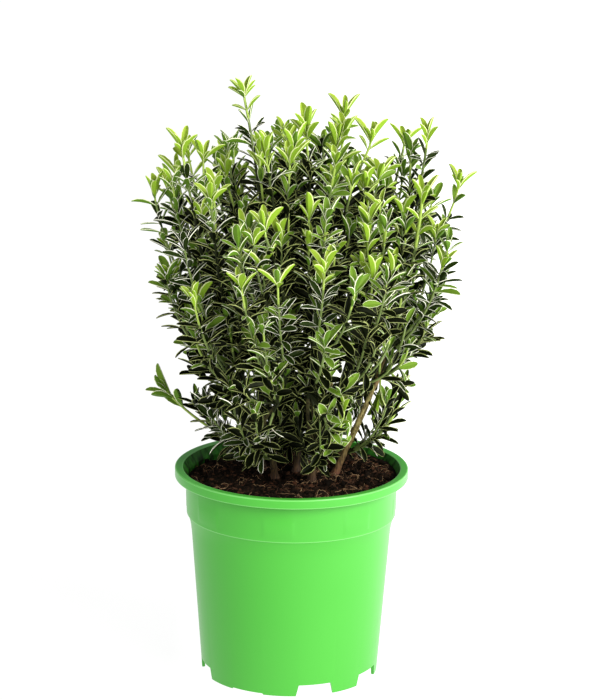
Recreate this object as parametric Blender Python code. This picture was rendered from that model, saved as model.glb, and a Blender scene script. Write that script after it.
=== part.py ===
"""Potted box-leaf euonymus: a bushy young shrub of upright leafy shoots in a moulded pot.

Metres, +Z up. The origin is the middle of the pot's flat foot, and -Y faces the viewer.
Every height that is given above the ground is counted from the soil's top, where the stems stand.
"""

import math
import random

import bmesh
import bpy
from mathutils import Vector

SEED = 4117
FIT_GAP = 0.0003  # clear space between two solids that meet

# Pot
SEGMENTS = 32
POT_HEIGHT = 0.1725
LIP_RADIUS = 0.0950
LIP_WIDTH = 0.0063
LIP_HEIGHT = 0.0085
LIP_WALL = 0.0013
LIP_ROUND = 0.0020
COLLAR_TOP_RADIUS = 0.0862
COLLAR_FOOT_RADIUS = 0.0853
COLLAR_DROP = 0.0386  # from the rim down to the collar's lower edge
COLLAR_STEP = 0.0055
BODY_TOP_RADIUS = 0.0819
FOOT_RADIUS = 0.0722
WALL = 0.0014
FOOT_RING = 0.0024
FLOOR_UNDERSIDE = 0.0106
FLOOR_THICK = 0.0018
PAD_RADIUS = 0.0380  # flat pad in the middle of the foot
PAD_THICK = 0.0022
PAD_SLOPE = 0.0050
NOTCH_COUNT = 8
NOTCH_TURN = math.radians(-73.0)  # the first notch, to the right of the front
NOTCH_HEIGHT = 0.0096
SHALLOW_NOTCH_HEIGHT = 0.0013
SHALLOW_EVERY = 4
NOTCH_FOOT_WIDTH = 0.0320
NOTCH_TOP_WIDTH = 0.0270
SLOT_WIDTH = 0.0110
SLOT_REACH = 0.0085

# Soil
SOIL_EDGE_DROP = 0.0095  # the soil's edge, below the rim
MOUND = 0.0025
PLATEAU_RADIUS = 0.0520
SOIL_RINGS = 3
SOIL_ROUGHNESS = 0.0009

# Stems and boughs
GROUND = POT_HEIGHT - SOIL_EDGE_DROP + MOUND
CLUMP = Vector((0.004, 0.006, GROUND))
STEM_TURN = math.radians(-5.0)
RING_STEMS = 6
RING_RADIUS = 0.030
STEM_FORK_RADIUS = 0.041
STEM_HEIGHT = 0.040
MIDDLE_STEM_HEIGHT = 0.050
LIMB_STEPS = 4
STEM_FOOT_THICK = 0.0029
STEM_TIP_THICK = 0.0023
FLARE = 1.45
FLARE_HEIGHT = 0.006
BOUGH_THICK = 0.0019
BOUGH_TIP_THICK = 0.0014
OUTER_SPREAD = math.radians(15.0)
STEM_JITTER = 0.004
STEM_TURN_JITTER = 0.10
STEM_BOW = 0.003
MIDDLE_BEND = Vector((0.003, -0.002, 0.030))
BOUGH_JITTER = 0.006
BOUGH_LEAD = 0.45  # how far a bough holds its first direction
RIGHT_BOUGH_START = 0.70  # along the stem
INNER_BOUGH_START = 0.84
BOUGH_SWING = 0.25  # a side bough first heads this far aside of its mass
BOUGH_TUCK = 0.010

# Crown, as radius against height above the ground, round its own middle
CROWN_MIDDLE = Vector((0.009, 0.006, GROUND))
CROWN_OUTLINE = (
    (0.018, 0.060),
    (0.060, 0.084),
    (0.100, 0.098),
    (0.150, 0.114),
    (0.205, 0.122),
    (0.262, 0.117),
)
CROWN_RADIUS = 0.118
CROWN_TOP = 0.276
DOME_DROP = 0.036
FRONT_SLOPE = 0.36  # the crown's top falls away towards the front
FAN_DEPTH = 0.050  # the shoots fan out from a point this far below the ground
FAN_HEIGHT = 0.230  # where the fan's places are laid out
INNER_RADIUS = 0.050
OUTER_RADIUS = 0.099
MIDDLE_ENTRY = (0.003, 0.090)
INNER_ENTRY = (0.026, 0.080)  # radius and height where an inner mass starts
OUTER_ENTRY = (0.050, 0.072)
LEANING_STEM = 0  # the right-hand stem leans well out of the clump
LEANING_FORK_RADIUS = 0.050
LEANING_ENTRY = (0.067, 0.081)
SKIRT_SPLIT = 0.046  # height that parts the skirt from the crown, on the middle line
SKIRT_SLOPE = 0.36
SKIRT_START = 0.42  # along the stem
SKIRT_LEAD_IN = 0.25  # rise of its first stretch
SKIRT_CLEARANCE = 0.0040  # from the stem's middle line to the shoot's foot
SKIRT_TIP = (0.086, 0.070)
LOW_ARM_STEM = 3
LOW_ARM_REACH = 0.026  # the one long shoot that arches out low on the left
SPACE_GAP = 0.0016

# Shoots and leaves
LEADER_THICK = 0.0018
TWIG_THICK = 0.0015
SHOOT_TIP_THICK = 0.0011
LEADER_TURN_JITTER = 0.07
LEADER_LEAD = 0.5  # how far a leader holds its bough's direction
LEADER_STRAIGHT = 0.4  # how much it is then drawn to a straight line
SIDE_SHOOTS = 4
SHOOT_LENGTH = (0.060, 0.095)
SKIRT_SHOOT_LENGTH = (0.035, 0.055)
SHOOT_START = (0.04, 0.80)  # along the leader
SHOOT_SWING = 0.75  # a side shoot first swings out this far towards its goal
SHOOT_LIFT = 0.35  # and rises this much of its height
FLANK_GOAL = (0.085, 0.155)  # lowest height, and how far up the flank the goals go
FLANK_REACH = (0.97, 1.04)
FLANK_TURN = 0.17
SKIRT_GOAL = (0.026, 0.042)
SKIRT_REACH = (0.90, 1.02)
SKIRT_TURN = 0.42
TOP_GOAL_SPREAD = (0.012, 0.012)
TOP_GOAL_DROP = 0.045
SIDE_STEPS = 3
LEADER_STEPS = 5
LEADER_RISE = (  # of each mass in turn, over the crown's dome
    *(0.000, 0.015, -0.006, 0.004, 0.022, 0.007, 0.000),
    *(-0.004, -0.002, -0.006, 0.019, 0.002, 0.038, 0.000),
    *(0.006, 0.010, -0.006, 0.010, 0.006),
)
LEAF_LENGTH = 0.0340
LEAF_WIDTH = 0.0155
LEAF_THICK = 0.0013
LEAF_BELLY = 0.58  # where it is widest, along its length
LEAF_SPACING = 0.0130
LEAF_SINK = 0.0005
LEAF_APART = 0.0034
MOST_LEAVES = 24  # in one mass
LEAF_DROOP = 0.10  # of its length
LEAF_SIZES = (0.88, 1.08)
TIP_LEAF_SHRINK = 0.15
LEAF_JITTER = 0.15
PAIR_JITTER = 0.25
YOUNG_SPREAD = math.radians(30.0)
OLD_SPREAD = math.radians(68.0)
TOP_PAIR = 0.985  # along the shoot
LIMB_CLEARANCE = 0.0008
SOIL_CLEARANCE = 0.0050

GOLDEN_ANGLE = math.pi * (3.0 - math.sqrt(5.0))
UP = Vector((0.0, 0.0, 1.0))


# Small geometry


def around(middle, angle, radius, height=0.0):
    """The point at an angle, radius and height from a middle point."""
    return middle + Vector((radius * math.cos(angle), radius * math.sin(angle), height))


def bow(start, bend, end, steps):
    """Points along a smooth bow from start to end, drawn towards bend."""
    shares = [i / steps for i in range(steps + 1)]
    return [start.lerp(bend, t).lerp(bend.lerp(end, t), t) for t in shares]


def along(path, share):
    """The point and direction at a share of a path's points."""
    at = share * (len(path) - 1)
    i = min(int(at), len(path) - 2)
    return path[i].lerp(path[i + 1], at - i), (path[i + 1] - path[i]).normalized()


def path_length(path):
    return sum((b - a).length for a, b in zip(path, path[1:]))


def near_segment(point, start, end):
    """How far along a segment its nearest place to a point lies, and the distance to it."""
    run = end - start
    share = max(0.0, min(1.0, (point - start).dot(run) / run.length_squared))
    return share, (point - start - run * share).length


def side_of(direction, turn):
    """A unit vector square to a direction, turned about it."""
    across = direction.cross(UP if abs(direction.z) < 0.95 else Vector((1.0, 0.0, 0.0))).normalized()
    return across * math.cos(turn) + direction.cross(across) * math.sin(turn)


# Blender objects


def clear_scene():
    for obj in list(bpy.data.objects):
        bpy.data.objects.remove(obj, do_unlink=True)


def finish(name, colour, roughness):
    """A Principled material of one colour."""
    material = bpy.data.materials.new(name)
    material.use_nodes = True
    shader = material.node_tree.nodes["Principled BSDF"]
    shader.inputs["Base Color"].default_value = (*colour, 1.0)
    shader.inputs["Roughness"].default_value = roughness
    shader.inputs["Metallic"].default_value = 0.0
    return material


def object_of(name, bm, material=None):
    """Turns a bmesh into a linked object with its faces pointing out."""
    bmesh.ops.recalc_face_normals(bm, faces=bm.faces)
    mesh = bpy.data.meshes.new(name)
    bm.to_mesh(mesh)
    bm.free()
    obj = bpy.data.objects.new(name, mesh)
    bpy.context.scene.collection.objects.link(obj)
    if material:
        mesh.materials.append(material)
    return obj


def hide_helper(obj):
    obj.hide_render = True
    obj.display_type = "WIRE"


def add_boolean(obj, operation, other=None, collection=None, solver="EXACT"):
    modifier = obj.modifiers.new("join" if operation == "UNION" else "cut", "BOOLEAN")
    modifier.operation = operation
    modifier.solver = solver
    if collection:
        modifier.operand_type = "COLLECTION"
        modifier.collection = collection
    else:
        modifier.object = other


def turned(profile):
    """A bmesh turned about Z from (radius, height) points that begin and end on the axis."""
    bm = bmesh.new()
    points = [bm.verts.new((radius, 0.0, height)) for radius, height in profile]
    edges = [bm.edges.new(pair) for pair in zip(points, points[1:])]
    bmesh.ops.spin(
        bm,
        geom=points + edges,
        cent=(0.0, 0.0, 0.0),
        axis=(0.0, 0.0, 1.0),
        angle=math.tau,
        steps=SEGMENTS,
        use_merge=True,
    )
    bmesh.ops.remove_doubles(bm, verts=bm.verts, dist=1e-6)
    return bm


def limb_mesh(path, radii, sides, foot_direction=None):
    """A bmesh of one tapering limb with closed ends. Its foot can be cut square to a direction."""
    bm = bmesh.new()
    rings = []
    across = None
    for i, (point, radius) in enumerate(zip(path, radii)):
        direction = (path[min(i + 1, len(path) - 1)] - path[max(i - 1, 0)]).normalized()
        if foot_direction and i == 0:
            direction = foot_direction
        across = side_of(direction, 0.0) if across is None else across
        across = (across - direction * across.dot(direction)).normalized()
        up = direction.cross(across)
        turns = [math.tau * s / sides for s in range(sides)]
        spokes = [across * math.cos(a) + up * math.sin(a) for a in turns]
        rings.append([bm.verts.new(point + spoke * radius) for spoke in spokes])
    for low, high in zip(rings, rings[1:]):
        for s in range(sides):
            after = (s + 1) % sides
            bm.faces.new((low[s], low[after], high[after], high[s]))
    bm.faces.new(rings[0][::-1])
    bm.faces.new(rings[-1])
    return bm


# Pot and soil


def inner_wall(gap=0.0):
    """The pot's inner profile from the middle of its floor to the lip, drawn in by a gap."""
    floor = FLOOR_UNDERSIDE + FLOOR_THICK + gap
    step = POT_HEIGHT - COLLAR_DROP
    floor_radius = FOOT_RADIUS + (BODY_TOP_RADIUS - FOOT_RADIUS) * floor / (step - COLLAR_STEP)
    return [
        (0.0, PAD_THICK + gap),
        (PAD_RADIUS - WALL - gap, PAD_THICK + gap),
        (PAD_RADIUS + PAD_SLOPE - WALL - gap, floor),
        (floor_radius - WALL - gap, floor),
        (BODY_TOP_RADIUS - WALL - gap, step - COLLAR_STEP),
        (COLLAR_FOOT_RADIUS - WALL - gap, step),
        (COLLAR_TOP_RADIUS - WALL - gap, POT_HEIGHT - LIP_HEIGHT),
    ]


def outer_wall():
    """The pot's outer profile from the lip's inner edge down to the middle of the foot."""
    lip_under = POT_HEIGHT - LIP_ROUND - LIP_WALL
    lip_foot = POT_HEIGHT - LIP_HEIGHT
    step = POT_HEIGHT - COLLAR_DROP
    return [
        (LIP_RADIUS - LIP_WIDTH, POT_HEIGHT - LIP_WALL / 2),
        (LIP_RADIUS - LIP_WIDTH + LIP_ROUND / 2, POT_HEIGHT),
        (LIP_RADIUS - LIP_ROUND, POT_HEIGHT),
        (LIP_RADIUS - LIP_ROUND * 0.3, POT_HEIGHT - LIP_ROUND * 0.3),
        (LIP_RADIUS, POT_HEIGHT - LIP_ROUND),
        (LIP_RADIUS, lip_foot),
        (LIP_RADIUS - LIP_WALL, lip_foot),
        (LIP_RADIUS - LIP_WALL, lip_under),
        (COLLAR_TOP_RADIUS + WALL, lip_under),
        (COLLAR_TOP_RADIUS, lip_foot),
        (COLLAR_FOOT_RADIUS, step),
        (BODY_TOP_RADIUS, step - COLLAR_STEP),
        (FOOT_RADIUS, 0.0),
        (FOOT_RADIUS - FOOT_RING, 0.0),
        (FOOT_RADIUS - FOOT_RING, FLOOR_UNDERSIDE),
        (PAD_RADIUS + PAD_SLOPE, FLOOR_UNDERSIDE),
        (PAD_RADIUS, 0.0),
        (0.0, 0.0),
    ]


def wedge(bm, angle, near, far, low, high, foot_width, top_width):
    """Adds a closed block to a bmesh, square to a radius, narrower at its top."""
    out = Vector((math.sin(angle), -math.cos(angle), 0.0))
    across = Vector((-out.y, out.x, 0.0))
    corners = []
    for height, width in ((low, foot_width), (high, top_width)):
        for radius, sign in ((near, -1), (far, -1), (far, 1), (near, 1)):
            corners.append(bm.verts.new(out * radius + across * (sign * width / 2) + UP * height))
    faces = ((3, 2, 1, 0), (4, 5, 6, 7), (0, 1, 5, 4), (1, 2, 6, 5), (2, 3, 7, 6), (3, 0, 4, 7))
    for face in faces:
        bm.faces.new([corners[i] for i in face])


def make_pot(material):
    """The pot, with notches in its foot ring and a drain slot behind each deep notch."""
    pot = object_of("pot", turned(inner_wall() + outer_wall()), material)
    notches, slots = bmesh.new(), bmesh.new()
    for i in range(NOTCH_COUNT):
        angle = NOTCH_TURN + math.tau * i / NOTCH_COUNT
        shallow = i % SHALLOW_EVERY == 1
        height = SHALLOW_NOTCH_HEIGHT if shallow else NOTCH_HEIGHT
        ring_inside = FOOT_RADIUS - FOOT_RING
        wedge(
            notches,
            angle,
            ring_inside - 0.004,
            FOOT_RADIUS + 0.006,
            -0.002,
            height,
            NOTCH_FOOT_WIDTH,
            NOTCH_TOP_WIDTH,
        )
        if not shallow:
            slot_out = ring_inside - 0.0015
            low, high = FLOOR_UNDERSIDE - 0.002, FLOOR_UNDERSIDE + FLOOR_THICK + 0.002
            wedge(slots, angle, slot_out - SLOT_REACH, slot_out, low, high, SLOT_WIDTH, SLOT_WIDTH)
    for name, bm in (("notch_cutter", notches), ("slot_cutter", slots)):
        cutter = object_of(name, bm)
        hide_helper(cutter)
        add_boolean(pot, "DIFFERENCE", cutter)
    pot.data.shade_smooth()
    pot.data.set_sharp_from_angle(angle=math.radians(30.0))


def soil_profile():
    """The soil plug's profile: up the pot's inner wall, then in over the edge to the plateau."""
    wall = inner_wall(FIT_GAP)
    (low_radius, low), (high_radius, high) = wall[-2:]
    edge = POT_HEIGHT - SOIL_EDGE_DROP
    edge_radius = low_radius + (high_radius - low_radius) * (edge - low) / (high - low)
    profile = wall[:-1] + [(edge_radius, edge)]
    for i in range(1, SOIL_RINGS + 1):
        share = i / SOIL_RINGS
        swell = share * share * (3.0 - 2.0 * share)
        profile.append((edge_radius + (PLATEAU_RADIUS - edge_radius) * share, edge + MOUND * swell))
    return profile + [(0.0, GROUND)]


def make_soil(material):
    """The soil, a plug that fills the pot, with an uneven top round a level middle."""
    rng = random.Random(SEED)
    bm = turned(soil_profile())
    edge = POT_HEIGHT - SOIL_EDGE_DROP
    for vert in bm.verts:
        radius = math.hypot(vert.co.x, vert.co.y)
        if vert.co.z > edge + 1e-4 and radius > PLATEAU_RADIUS + 1e-4:
            vert.co.z += rng.uniform(-SOIL_ROUGHNESS, SOIL_ROUGHNESS)
    object_of("soil", bm, material)


# Plant layout


class Mass:
    """One mass of foliage: its place in the crown, where it starts and where its leader ends."""

    def __init__(self, name, site, entry, lead_in, top, skirt):
        self.name = name
        self.site = site  # its place in the fan, or round the clump for the skirt
        self.entry = entry
        self.lead_in = lead_in
        self.top = top
        self.skirt = skirt


def flank_radius(height):
    """The crown's radius at a height above the ground."""
    points = CROWN_OUTLINE
    if height <= points[0][0]:
        return points[0][1]
    for (low, low_radius), (high, high_radius) in zip(points, points[1:]):
        if height <= high:
            return low_radius + (high_radius - low_radius) * (height - low) / (high - low)
    return points[-1][1]


def dome_height(point):
    """The height of the crown's domed top over a point, above the ground."""
    radius = (point - CROWN_MIDDLE).to_2d().length
    forward = max(0.0, CROWN_MIDDLE.y - point.y)
    return CROWN_TOP - DOME_DROP * (radius / CROWN_RADIUS) ** 2 - FRONT_SLOPE * forward


def fan_place(point):
    """Where the line from the fan's root through a point crosses the fan's level."""
    scale = (FAN_DEPTH + FAN_HEIGHT) / max(point.z - GROUND + FAN_DEPTH, 1e-4)
    return (point - CLUMP).to_2d() * scale


def split_height(point):
    """The height that parts the skirt from the crown above a point."""
    return SKIRT_SPLIT + SKIRT_SLOPE * (point - CLUMP).to_2d().length


def fan_site(angle, radius):
    return around(CROWN_MIDDLE - CLUMP, angle, radius).to_2d()


def make_stem_path(rng, angle, fork_radius):
    """A ring stem, from its foot on the soil to its fork."""
    angle += rng.uniform(-STEM_TURN_JITTER, STEM_TURN_JITTER)
    foot = around(CLUMP, angle, RING_RADIUS + rng.uniform(-STEM_JITTER, STEM_JITTER), FIT_GAP)
    fork = around(CLUMP, angle, fork_radius, STEM_HEIGHT + rng.uniform(-STEM_JITTER, STEM_JITTER))
    bend = foot.lerp(fork, 0.5) + side_of(UP, rng.uniform(0.0, math.tau)) * STEM_BOW
    return bow(foot, bend, fork, LIMB_STEPS)


def leader_top(rng, angle, radius, index):
    """Where a mass's leader ends: on the crown's dome, or standing out of it."""
    angle += rng.uniform(-LEADER_TURN_JITTER, LEADER_TURN_JITTER)
    place = around(CROWN_MIDDLE, angle, radius)
    return place + UP * (dome_height(place) + LEADER_RISE[index])


class Layout:
    """Stem paths, bough paths and masses, worked out from the ring of stems."""

    def __init__(self):
        self.rng = random.Random(SEED)
        self.stems = []
        self.boughs = []
        self.masses = []
        self.add_middle()
        for i in range(RING_STEMS):
            self.add_ring_stem(i)

    def add_bough(self, name, start, lead, entry, angle, site_radius):
        """A bough from its start to its mass, which takes the bough's name."""
        radius, height = entry
        entry = around(CLUMP, angle, radius, height + self.rng.uniform(-BOUGH_JITTER, BOUGH_JITTER))
        reach = (entry - start).length
        path = bow(start, start + lead * reach * BOUGH_LEAD, entry, LIMB_STEPS)
        top = leader_top(self.rng, angle, site_radius, len(self.boughs))
        self.boughs.append(("bough_" + name, path))
        lead_in = (path[-1] - path[-2]).normalized()
        self.masses.append(Mass("foliage_" + name, fan_site(angle, site_radius), entry, lead_in, top, False))

    def side_lead(self, stem, share, heading):
        """Where a bough leaves a stem's side, and its direction there, to a place round the clump."""
        start, _ = along(stem, share)
        return start, (around(CLUMP, *heading) - start).normalized()

    def add_middle(self):
        path = bow(CLUMP + UP * FIT_GAP, CLUMP + MIDDLE_BEND, CLUMP + UP * MIDDLE_STEM_HEIGHT, LIMB_STEPS)
        self.stems.append(("stem_middle", path))
        lead = (path[-1] - path[-2]).normalized()
        self.add_bough("middle", path[-1] + lead * FIT_GAP, lead, MIDDLE_ENTRY, 0.0, 0.0)

    def add_ring_stem(self, i):
        """A ring stem with its left, right and inner boughs and its skirt of low foliage."""
        angle = STEM_TURN + math.tau * i / RING_STEMS
        name = str(i + 1)
        leaning = i == LEANING_STEM
        outer_entry = LEANING_ENTRY if leaning else OUTER_ENTRY
        stem = make_stem_path(self.rng, angle, LEANING_FORK_RADIUS if leaning else STEM_FORK_RADIUS)
        self.stems.append(("stem_" + name, stem))
        lead = (stem[-1] - stem[-2]).normalized()
        left, right = angle + OUTER_SPREAD, angle - OUTER_SPREAD
        self.add_bough(name + "_left", stem[-1] + lead * FIT_GAP, lead, outer_entry, left, OUTER_RADIUS)
        aside = (right - BOUGH_SWING, *outer_entry)
        lead = self.side_lead(stem, RIGHT_BOUGH_START, aside)
        self.add_bough(name + "_right", *lead, outer_entry, right, OUTER_RADIUS)
        within = (angle, INNER_ENTRY[0] - BOUGH_TUCK, INNER_ENTRY[1])
        lead = self.side_lead(stem, INNER_BOUGH_START, within)
        self.add_bough(name + "_inner", *lead, INNER_ENTRY, angle, INNER_RADIUS)
        self.add_skirt(name, stem, angle, LOW_ARM_REACH if i == LOW_ARM_STEM else 0.0)

    def add_skirt(self, name, stem, angle, extra_reach):
        start, _ = along(stem, SKIRT_START)
        lead_in = (around(Vector(), angle, 1.0) + UP * SKIRT_LEAD_IN).normalized()
        radius, height = SKIRT_TIP
        top = around(CLUMP, angle, radius + extra_reach, height)
        site = around(Vector(), angle, OUTER_RADIUS).to_2d()
        entry = start + lead_in * SKIRT_CLEARANCE
        self.masses.append(Mass(f"foliage_{name}_skirt", site, entry, lead_in, top, True))


class Space:
    """Tells what keeps to a mass's own space and clear of every limb."""

    def __init__(self, masses, limbs):
        self.upper = [mass.site for mass in masses if not mass.skirt]
        self.lower = [mass.site for mass in masses if mass.skirt]
        self.limbs = limbs  # (path, radii) of every stem and bough

    def inside(self, mass, point, margin=0.0):
        """True if a point keeps to the mass's own space by a margin."""
        height = point.z - GROUND
        split = split_height(point)
        sites = self.lower if mass.skirt else self.upper
        if mass.skirt:
            place = (point - CLUMP).to_2d()
            parted = SOIL_CLEARANCE + margin < height < split - SPACE_GAP / 2 - margin
        else:
            place = fan_place(point)
            parted = height > split + SPACE_GAP / 2 + margin
            margin *= (FAN_DEPTH + FAN_HEIGHT) / (height + FAN_DEPTH)
        own = (place - mass.site).length + SPACE_GAP + 2.0 * margin
        return parted and all(site == mass.site or own < (place - site).length for site in sites)

    def clear_of_limbs(self, point, margin=0.0):
        """True if a point stands clear of every stem and bough by a margin."""
        for path, radii in self.limbs:
            for i in range(len(path) - 1):
                share, distance = near_segment(point, path[i], path[i + 1])
                thick = radii[i] + (radii[i + 1] - radii[i]) * share
                if distance < thick + LIMB_CLEARANCE + margin:
                    return False
        return True

    def takes(self, mass, points, margin=0.0):
        return all(self.inside(mass, p, margin) and self.clear_of_limbs(p, margin) for p in points)


# Foliage


def leader_path(mass):
    """The main shoot of a mass, from its bough's tip to its top."""
    reach = (mass.top - mass.entry).length
    bend = mass.entry + mass.lead_in * reach * LEADER_LEAD
    if not mass.skirt:
        bend = bend.lerp(mass.entry.lerp(mass.top, 0.5), LEADER_STRAIGHT)
    return bow(mass.entry, bend, mass.top, LEADER_STEPS)


def shoot_goal(rng, mass, k):
    """Where a side shoot ends: by turns on the crown's flank and on its domed top."""
    middle = CLUMP if mass.skirt else CROWN_MIDDLE
    out = mass.top - middle
    angle, radius = math.atan2(out.y, out.x), out.to_2d().length
    turn = rng.uniform(-1.0, 1.0)
    share = rng.random()
    if mass.skirt:
        low, span = SKIRT_GOAL
        height = low + span * share
        reach = flank_radius(height) * rng.uniform(*SKIRT_REACH)
        return around(CLUMP, angle + SKIRT_TURN * turn, reach, height)
    if radius > (INNER_RADIUS + OUTER_RADIUS) / 2 and k % 2 == 0:
        low, span = FLANK_GOAL
        height = low + span * ((k + 2.0 * share) / SIDE_SHOOTS % 1.0)
        reach = flank_radius(height) * rng.uniform(*FLANK_REACH)
        return around(CROWN_MIDDLE, angle + FLANK_TURN * turn, reach, height)
    least, more = TOP_GOAL_SPREAD
    place = around(mass.top, GOLDEN_ANGLE * k + 2.0 * turn, least + more * share)
    place.z = GROUND + dome_height(place) - TOP_GOAL_DROP * rng.random()
    return place


def side_shoot(rng, mass, leader, k):
    """A side shoot: it leaves the leader, swings out and rises to its goal."""
    goal = shoot_goal(rng, mass, k)
    length = rng.uniform(*(SKIRT_SHOOT_LENGTH if mass.skirt else SHOOT_LENGTH))
    low, high = leader[0].z, leader[-1].z
    lowest, highest = SHOOT_START
    share = max(lowest, min(highest, (goal.z - length - low) / (high - low)))
    start, _ = along(leader, share)
    bend = start.lerp(goal, SHOOT_SWING)
    bend.z = start.z + (goal.z - start.z) * SHOOT_LIFT
    return bow(start, bend, goal, SIDE_STEPS)


def leaf_points(foot, direction, facing, length, width):
    """The five corners of a leaf: root, tip, both edges and the keel on its back."""
    across = direction.cross(facing)
    root = foot - direction * LEAF_SINK
    tip = foot + direction * length - facing * length * LEAF_DROOP
    belly = foot + direction * length * LEAF_BELLY
    keel = belly - facing * LEAF_THICK
    return [root, tip, belly + across * width / 2, belly - across * width / 2, keel]


LEAF_FACES = ((0, 2, 3), (1, 3, 2), (0, 4, 2), (2, 4, 1), (1, 4, 3), (3, 4, 0))


def shoot_leaves(rng, path):
    """Opposite pairs of leaves from a shoot's tip down to its foot, each pair crossing the last."""
    count = max(2, round(path_length(path) / LEAF_SPACING))
    turn = rng.uniform(0.0, math.pi)
    leaves = []
    for i in reversed(range(count)):
        share = min((i + 1) / count, TOP_PAIR)
        foot, direction = along(path, share)
        youth = share ** 3
        spread = OLD_SPREAD + (YOUNG_SPREAD - OLD_SPREAD) * youth
        turn += math.pi / 2 + rng.uniform(-PAIR_JITTER, PAIR_JITTER)
        for side in (0.0, math.pi):
            out = side_of(direction, turn + side)
            angle = spread + rng.uniform(-LEAF_JITTER, LEAF_JITTER)
            heading = direction * math.cos(angle) + out * math.sin(angle)
            facing = direction * math.sin(angle) - out * math.cos(angle)
            size = rng.uniform(*LEAF_SIZES) * (1.0 - TIP_LEAF_SHRINK * youth)
            leaves.append(leaf_points(foot, heading, facing, LEAF_LENGTH * size, LEAF_WIDTH * size))
    return leaves


def tapered(path, foot, tip):
    """Radii that run evenly from foot to tip along a path."""
    return [foot + (tip - foot) * i / (len(path) - 1) for i in range(len(path))]


def leaf_mesh(points):
    bm = bmesh.new()
    verts = [bm.verts.new(p) for p in points]
    for face in LEAF_FACES:
        bm.faces.new([verts[i] for i in face])
    return bm


def leaf_samples(points):
    """Places on a leaf where its space is tested: corners and the middles of its edges."""
    root, tip, left, right, keel = points
    halves = [tip.lerp(left, 0.5), tip.lerp(right, 0.5), left.lerp(root, 0.4), right.lerp(root, 0.4)]
    return [tip, left, right, keel, tip.lerp(keel, 0.5), *halves]


def stands_apart(samples, ribs):
    """True if a new leaf's places all lie clear of the leaves and shoots that are there already."""
    return all(near_segment(p, *rib)[1] > LEAF_APART for p in samples for rib in ribs)


def grow_leaves(rng, mass, shoots, space):
    """Leaves from every shoot's tip downwards, a shoot at a time in turn, where there is room."""
    waiting = [shoot_leaves(rng, path) for path in shoots]
    ribs = [list(zip(path, path[1:])) for path in shoots]
    leaves = []
    while any(waiting) and len(leaves) < MOST_LEAVES:
        for i, candidates in enumerate(waiting):
            if not candidates:
                continue
            points = candidates.pop(0)
            samples = leaf_samples(points)
            others = [rib for k, shoot_ribs in enumerate(ribs) if k != i for rib in shoot_ribs]
            others += [(leaf[0], leaf[1]) for leaf in leaves]
            if space.takes(mass, samples) and stands_apart(samples, others):
                leaves.append(points)
    return leaves


def shoot_random(index, k):
    """The random numbers of one side shoot of one mass, whatever else the mass holds."""
    return random.Random(SEED + 101 * index + 7 * k + 3)


def side_shoots(mass, index, leader, space):
    """The mass's side shoots that keep to its space."""
    shoots = [side_shoot(shoot_random(index, k), mass, leader, k) for k in range(SIDE_SHOOTS)]
    return [path for path in shoots if space.takes(mass, path[1:], TWIG_THICK)]


def make_mass(mass, index, space, material):
    """One mass: its leader, side shoots and leaves, joined into one solid."""
    leader = leader_path(mass)
    leader[0] = leader[0] + mass.lead_in * FIT_GAP
    radii = tapered(leader, LEADER_THICK, SHOOT_TIP_THICK)
    obj = object_of(mass.name, limb_mesh(leader, radii, 3, mass.lead_in), material)
    sides = side_shoots(mass, index, leader, space)
    leaves = grow_leaves(random.Random(SEED + 101 * index), mass, [leader, *sides], space)
    meshes = [limb_mesh(path, tapered(path, TWIG_THICK, SHOOT_TIP_THICK), 3) for path in sides]
    meshes += [leaf_mesh(points) for points in leaves]

    pieces = bpy.data.collections.new(mass.name + "_pieces")
    bpy.context.scene.collection.children.link(pieces)
    for bm in meshes:
        piece = object_of("piece", bm)
        bpy.context.scene.collection.objects.unlink(piece)
        pieces.objects.link(piece)
    add_boolean(obj, "UNION", collection=pieces, solver="MANIFOLD")
    apply_modifiers(obj)
    for piece in list(pieces.objects):
        bpy.data.objects.remove(piece, do_unlink=True)
    bpy.data.collections.remove(pieces)


def apply_modifiers(obj):
    """Bakes an object's modifiers into its mesh."""
    graph = bpy.context.evaluated_depsgraph_get()
    mesh = bpy.data.meshes.new_from_object(obj.evaluated_get(graph))
    mesh.name = obj.data.name
    obj.modifiers.clear()
    obj.data = mesh


# The plant


def make_limbs(stems, boughs, material):
    """Stems and boughs. A bough that springs from a stem's side is cut clear of it by a sleeve."""
    sleeves = {}
    limbs = []
    for name, path in stems:
        radii = tapered(path, STEM_FOOT_THICK, STEM_TIP_THICK)
        flare_end = path[0].lerp(path[1], FLARE_HEIGHT / (path[1] - path[0]).length)
        path = [path[0], flare_end, *path[1:]]
        radii = [STEM_FOOT_THICK * FLARE, *radii]
        object_of(name, limb_mesh(path, radii, 8, UP), material)
        wide = [radius + FIT_GAP for radius in radii]
        sleeve = object_of(name + "_sleeve", limb_mesh(path, wide, 8))
        hide_helper(sleeve)
        sleeves[name] = sleeve
        limbs.append((path, radii))
    for name, path in boughs:
        radii = tapered(path, BOUGH_THICK, BOUGH_TIP_THICK)
        bough = object_of(name, limb_mesh(path, radii, 5), material)
        if not name.endswith(("_left", "_middle")):
            add_boolean(bough, "DIFFERENCE", sleeves["stem_" + name.split("_")[1]])
        limbs.append((path, radii))
    return limbs


def main():
    clear_scene()
    pot_green = finish("pot_green", (0.12, 0.70, 0.09), 0.35)
    soil_brown = finish("soil_brown", (0.030, 0.018, 0.012), 0.95)
    bark = finish("bark", (0.16, 0.095, 0.05), 0.85)
    leaf_green = finish("leaf_green", (0.10, 0.22, 0.04), 0.50)
    make_pot(pot_green)
    make_soil(soil_brown)
    layout = Layout()
    limbs = make_limbs(layout.stems, layout.boughs, bark)
    space = Space(layout.masses, limbs)
    for index, mass in enumerate(layout.masses):
        make_mass(mass, index, space, leaf_green)


main()
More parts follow.
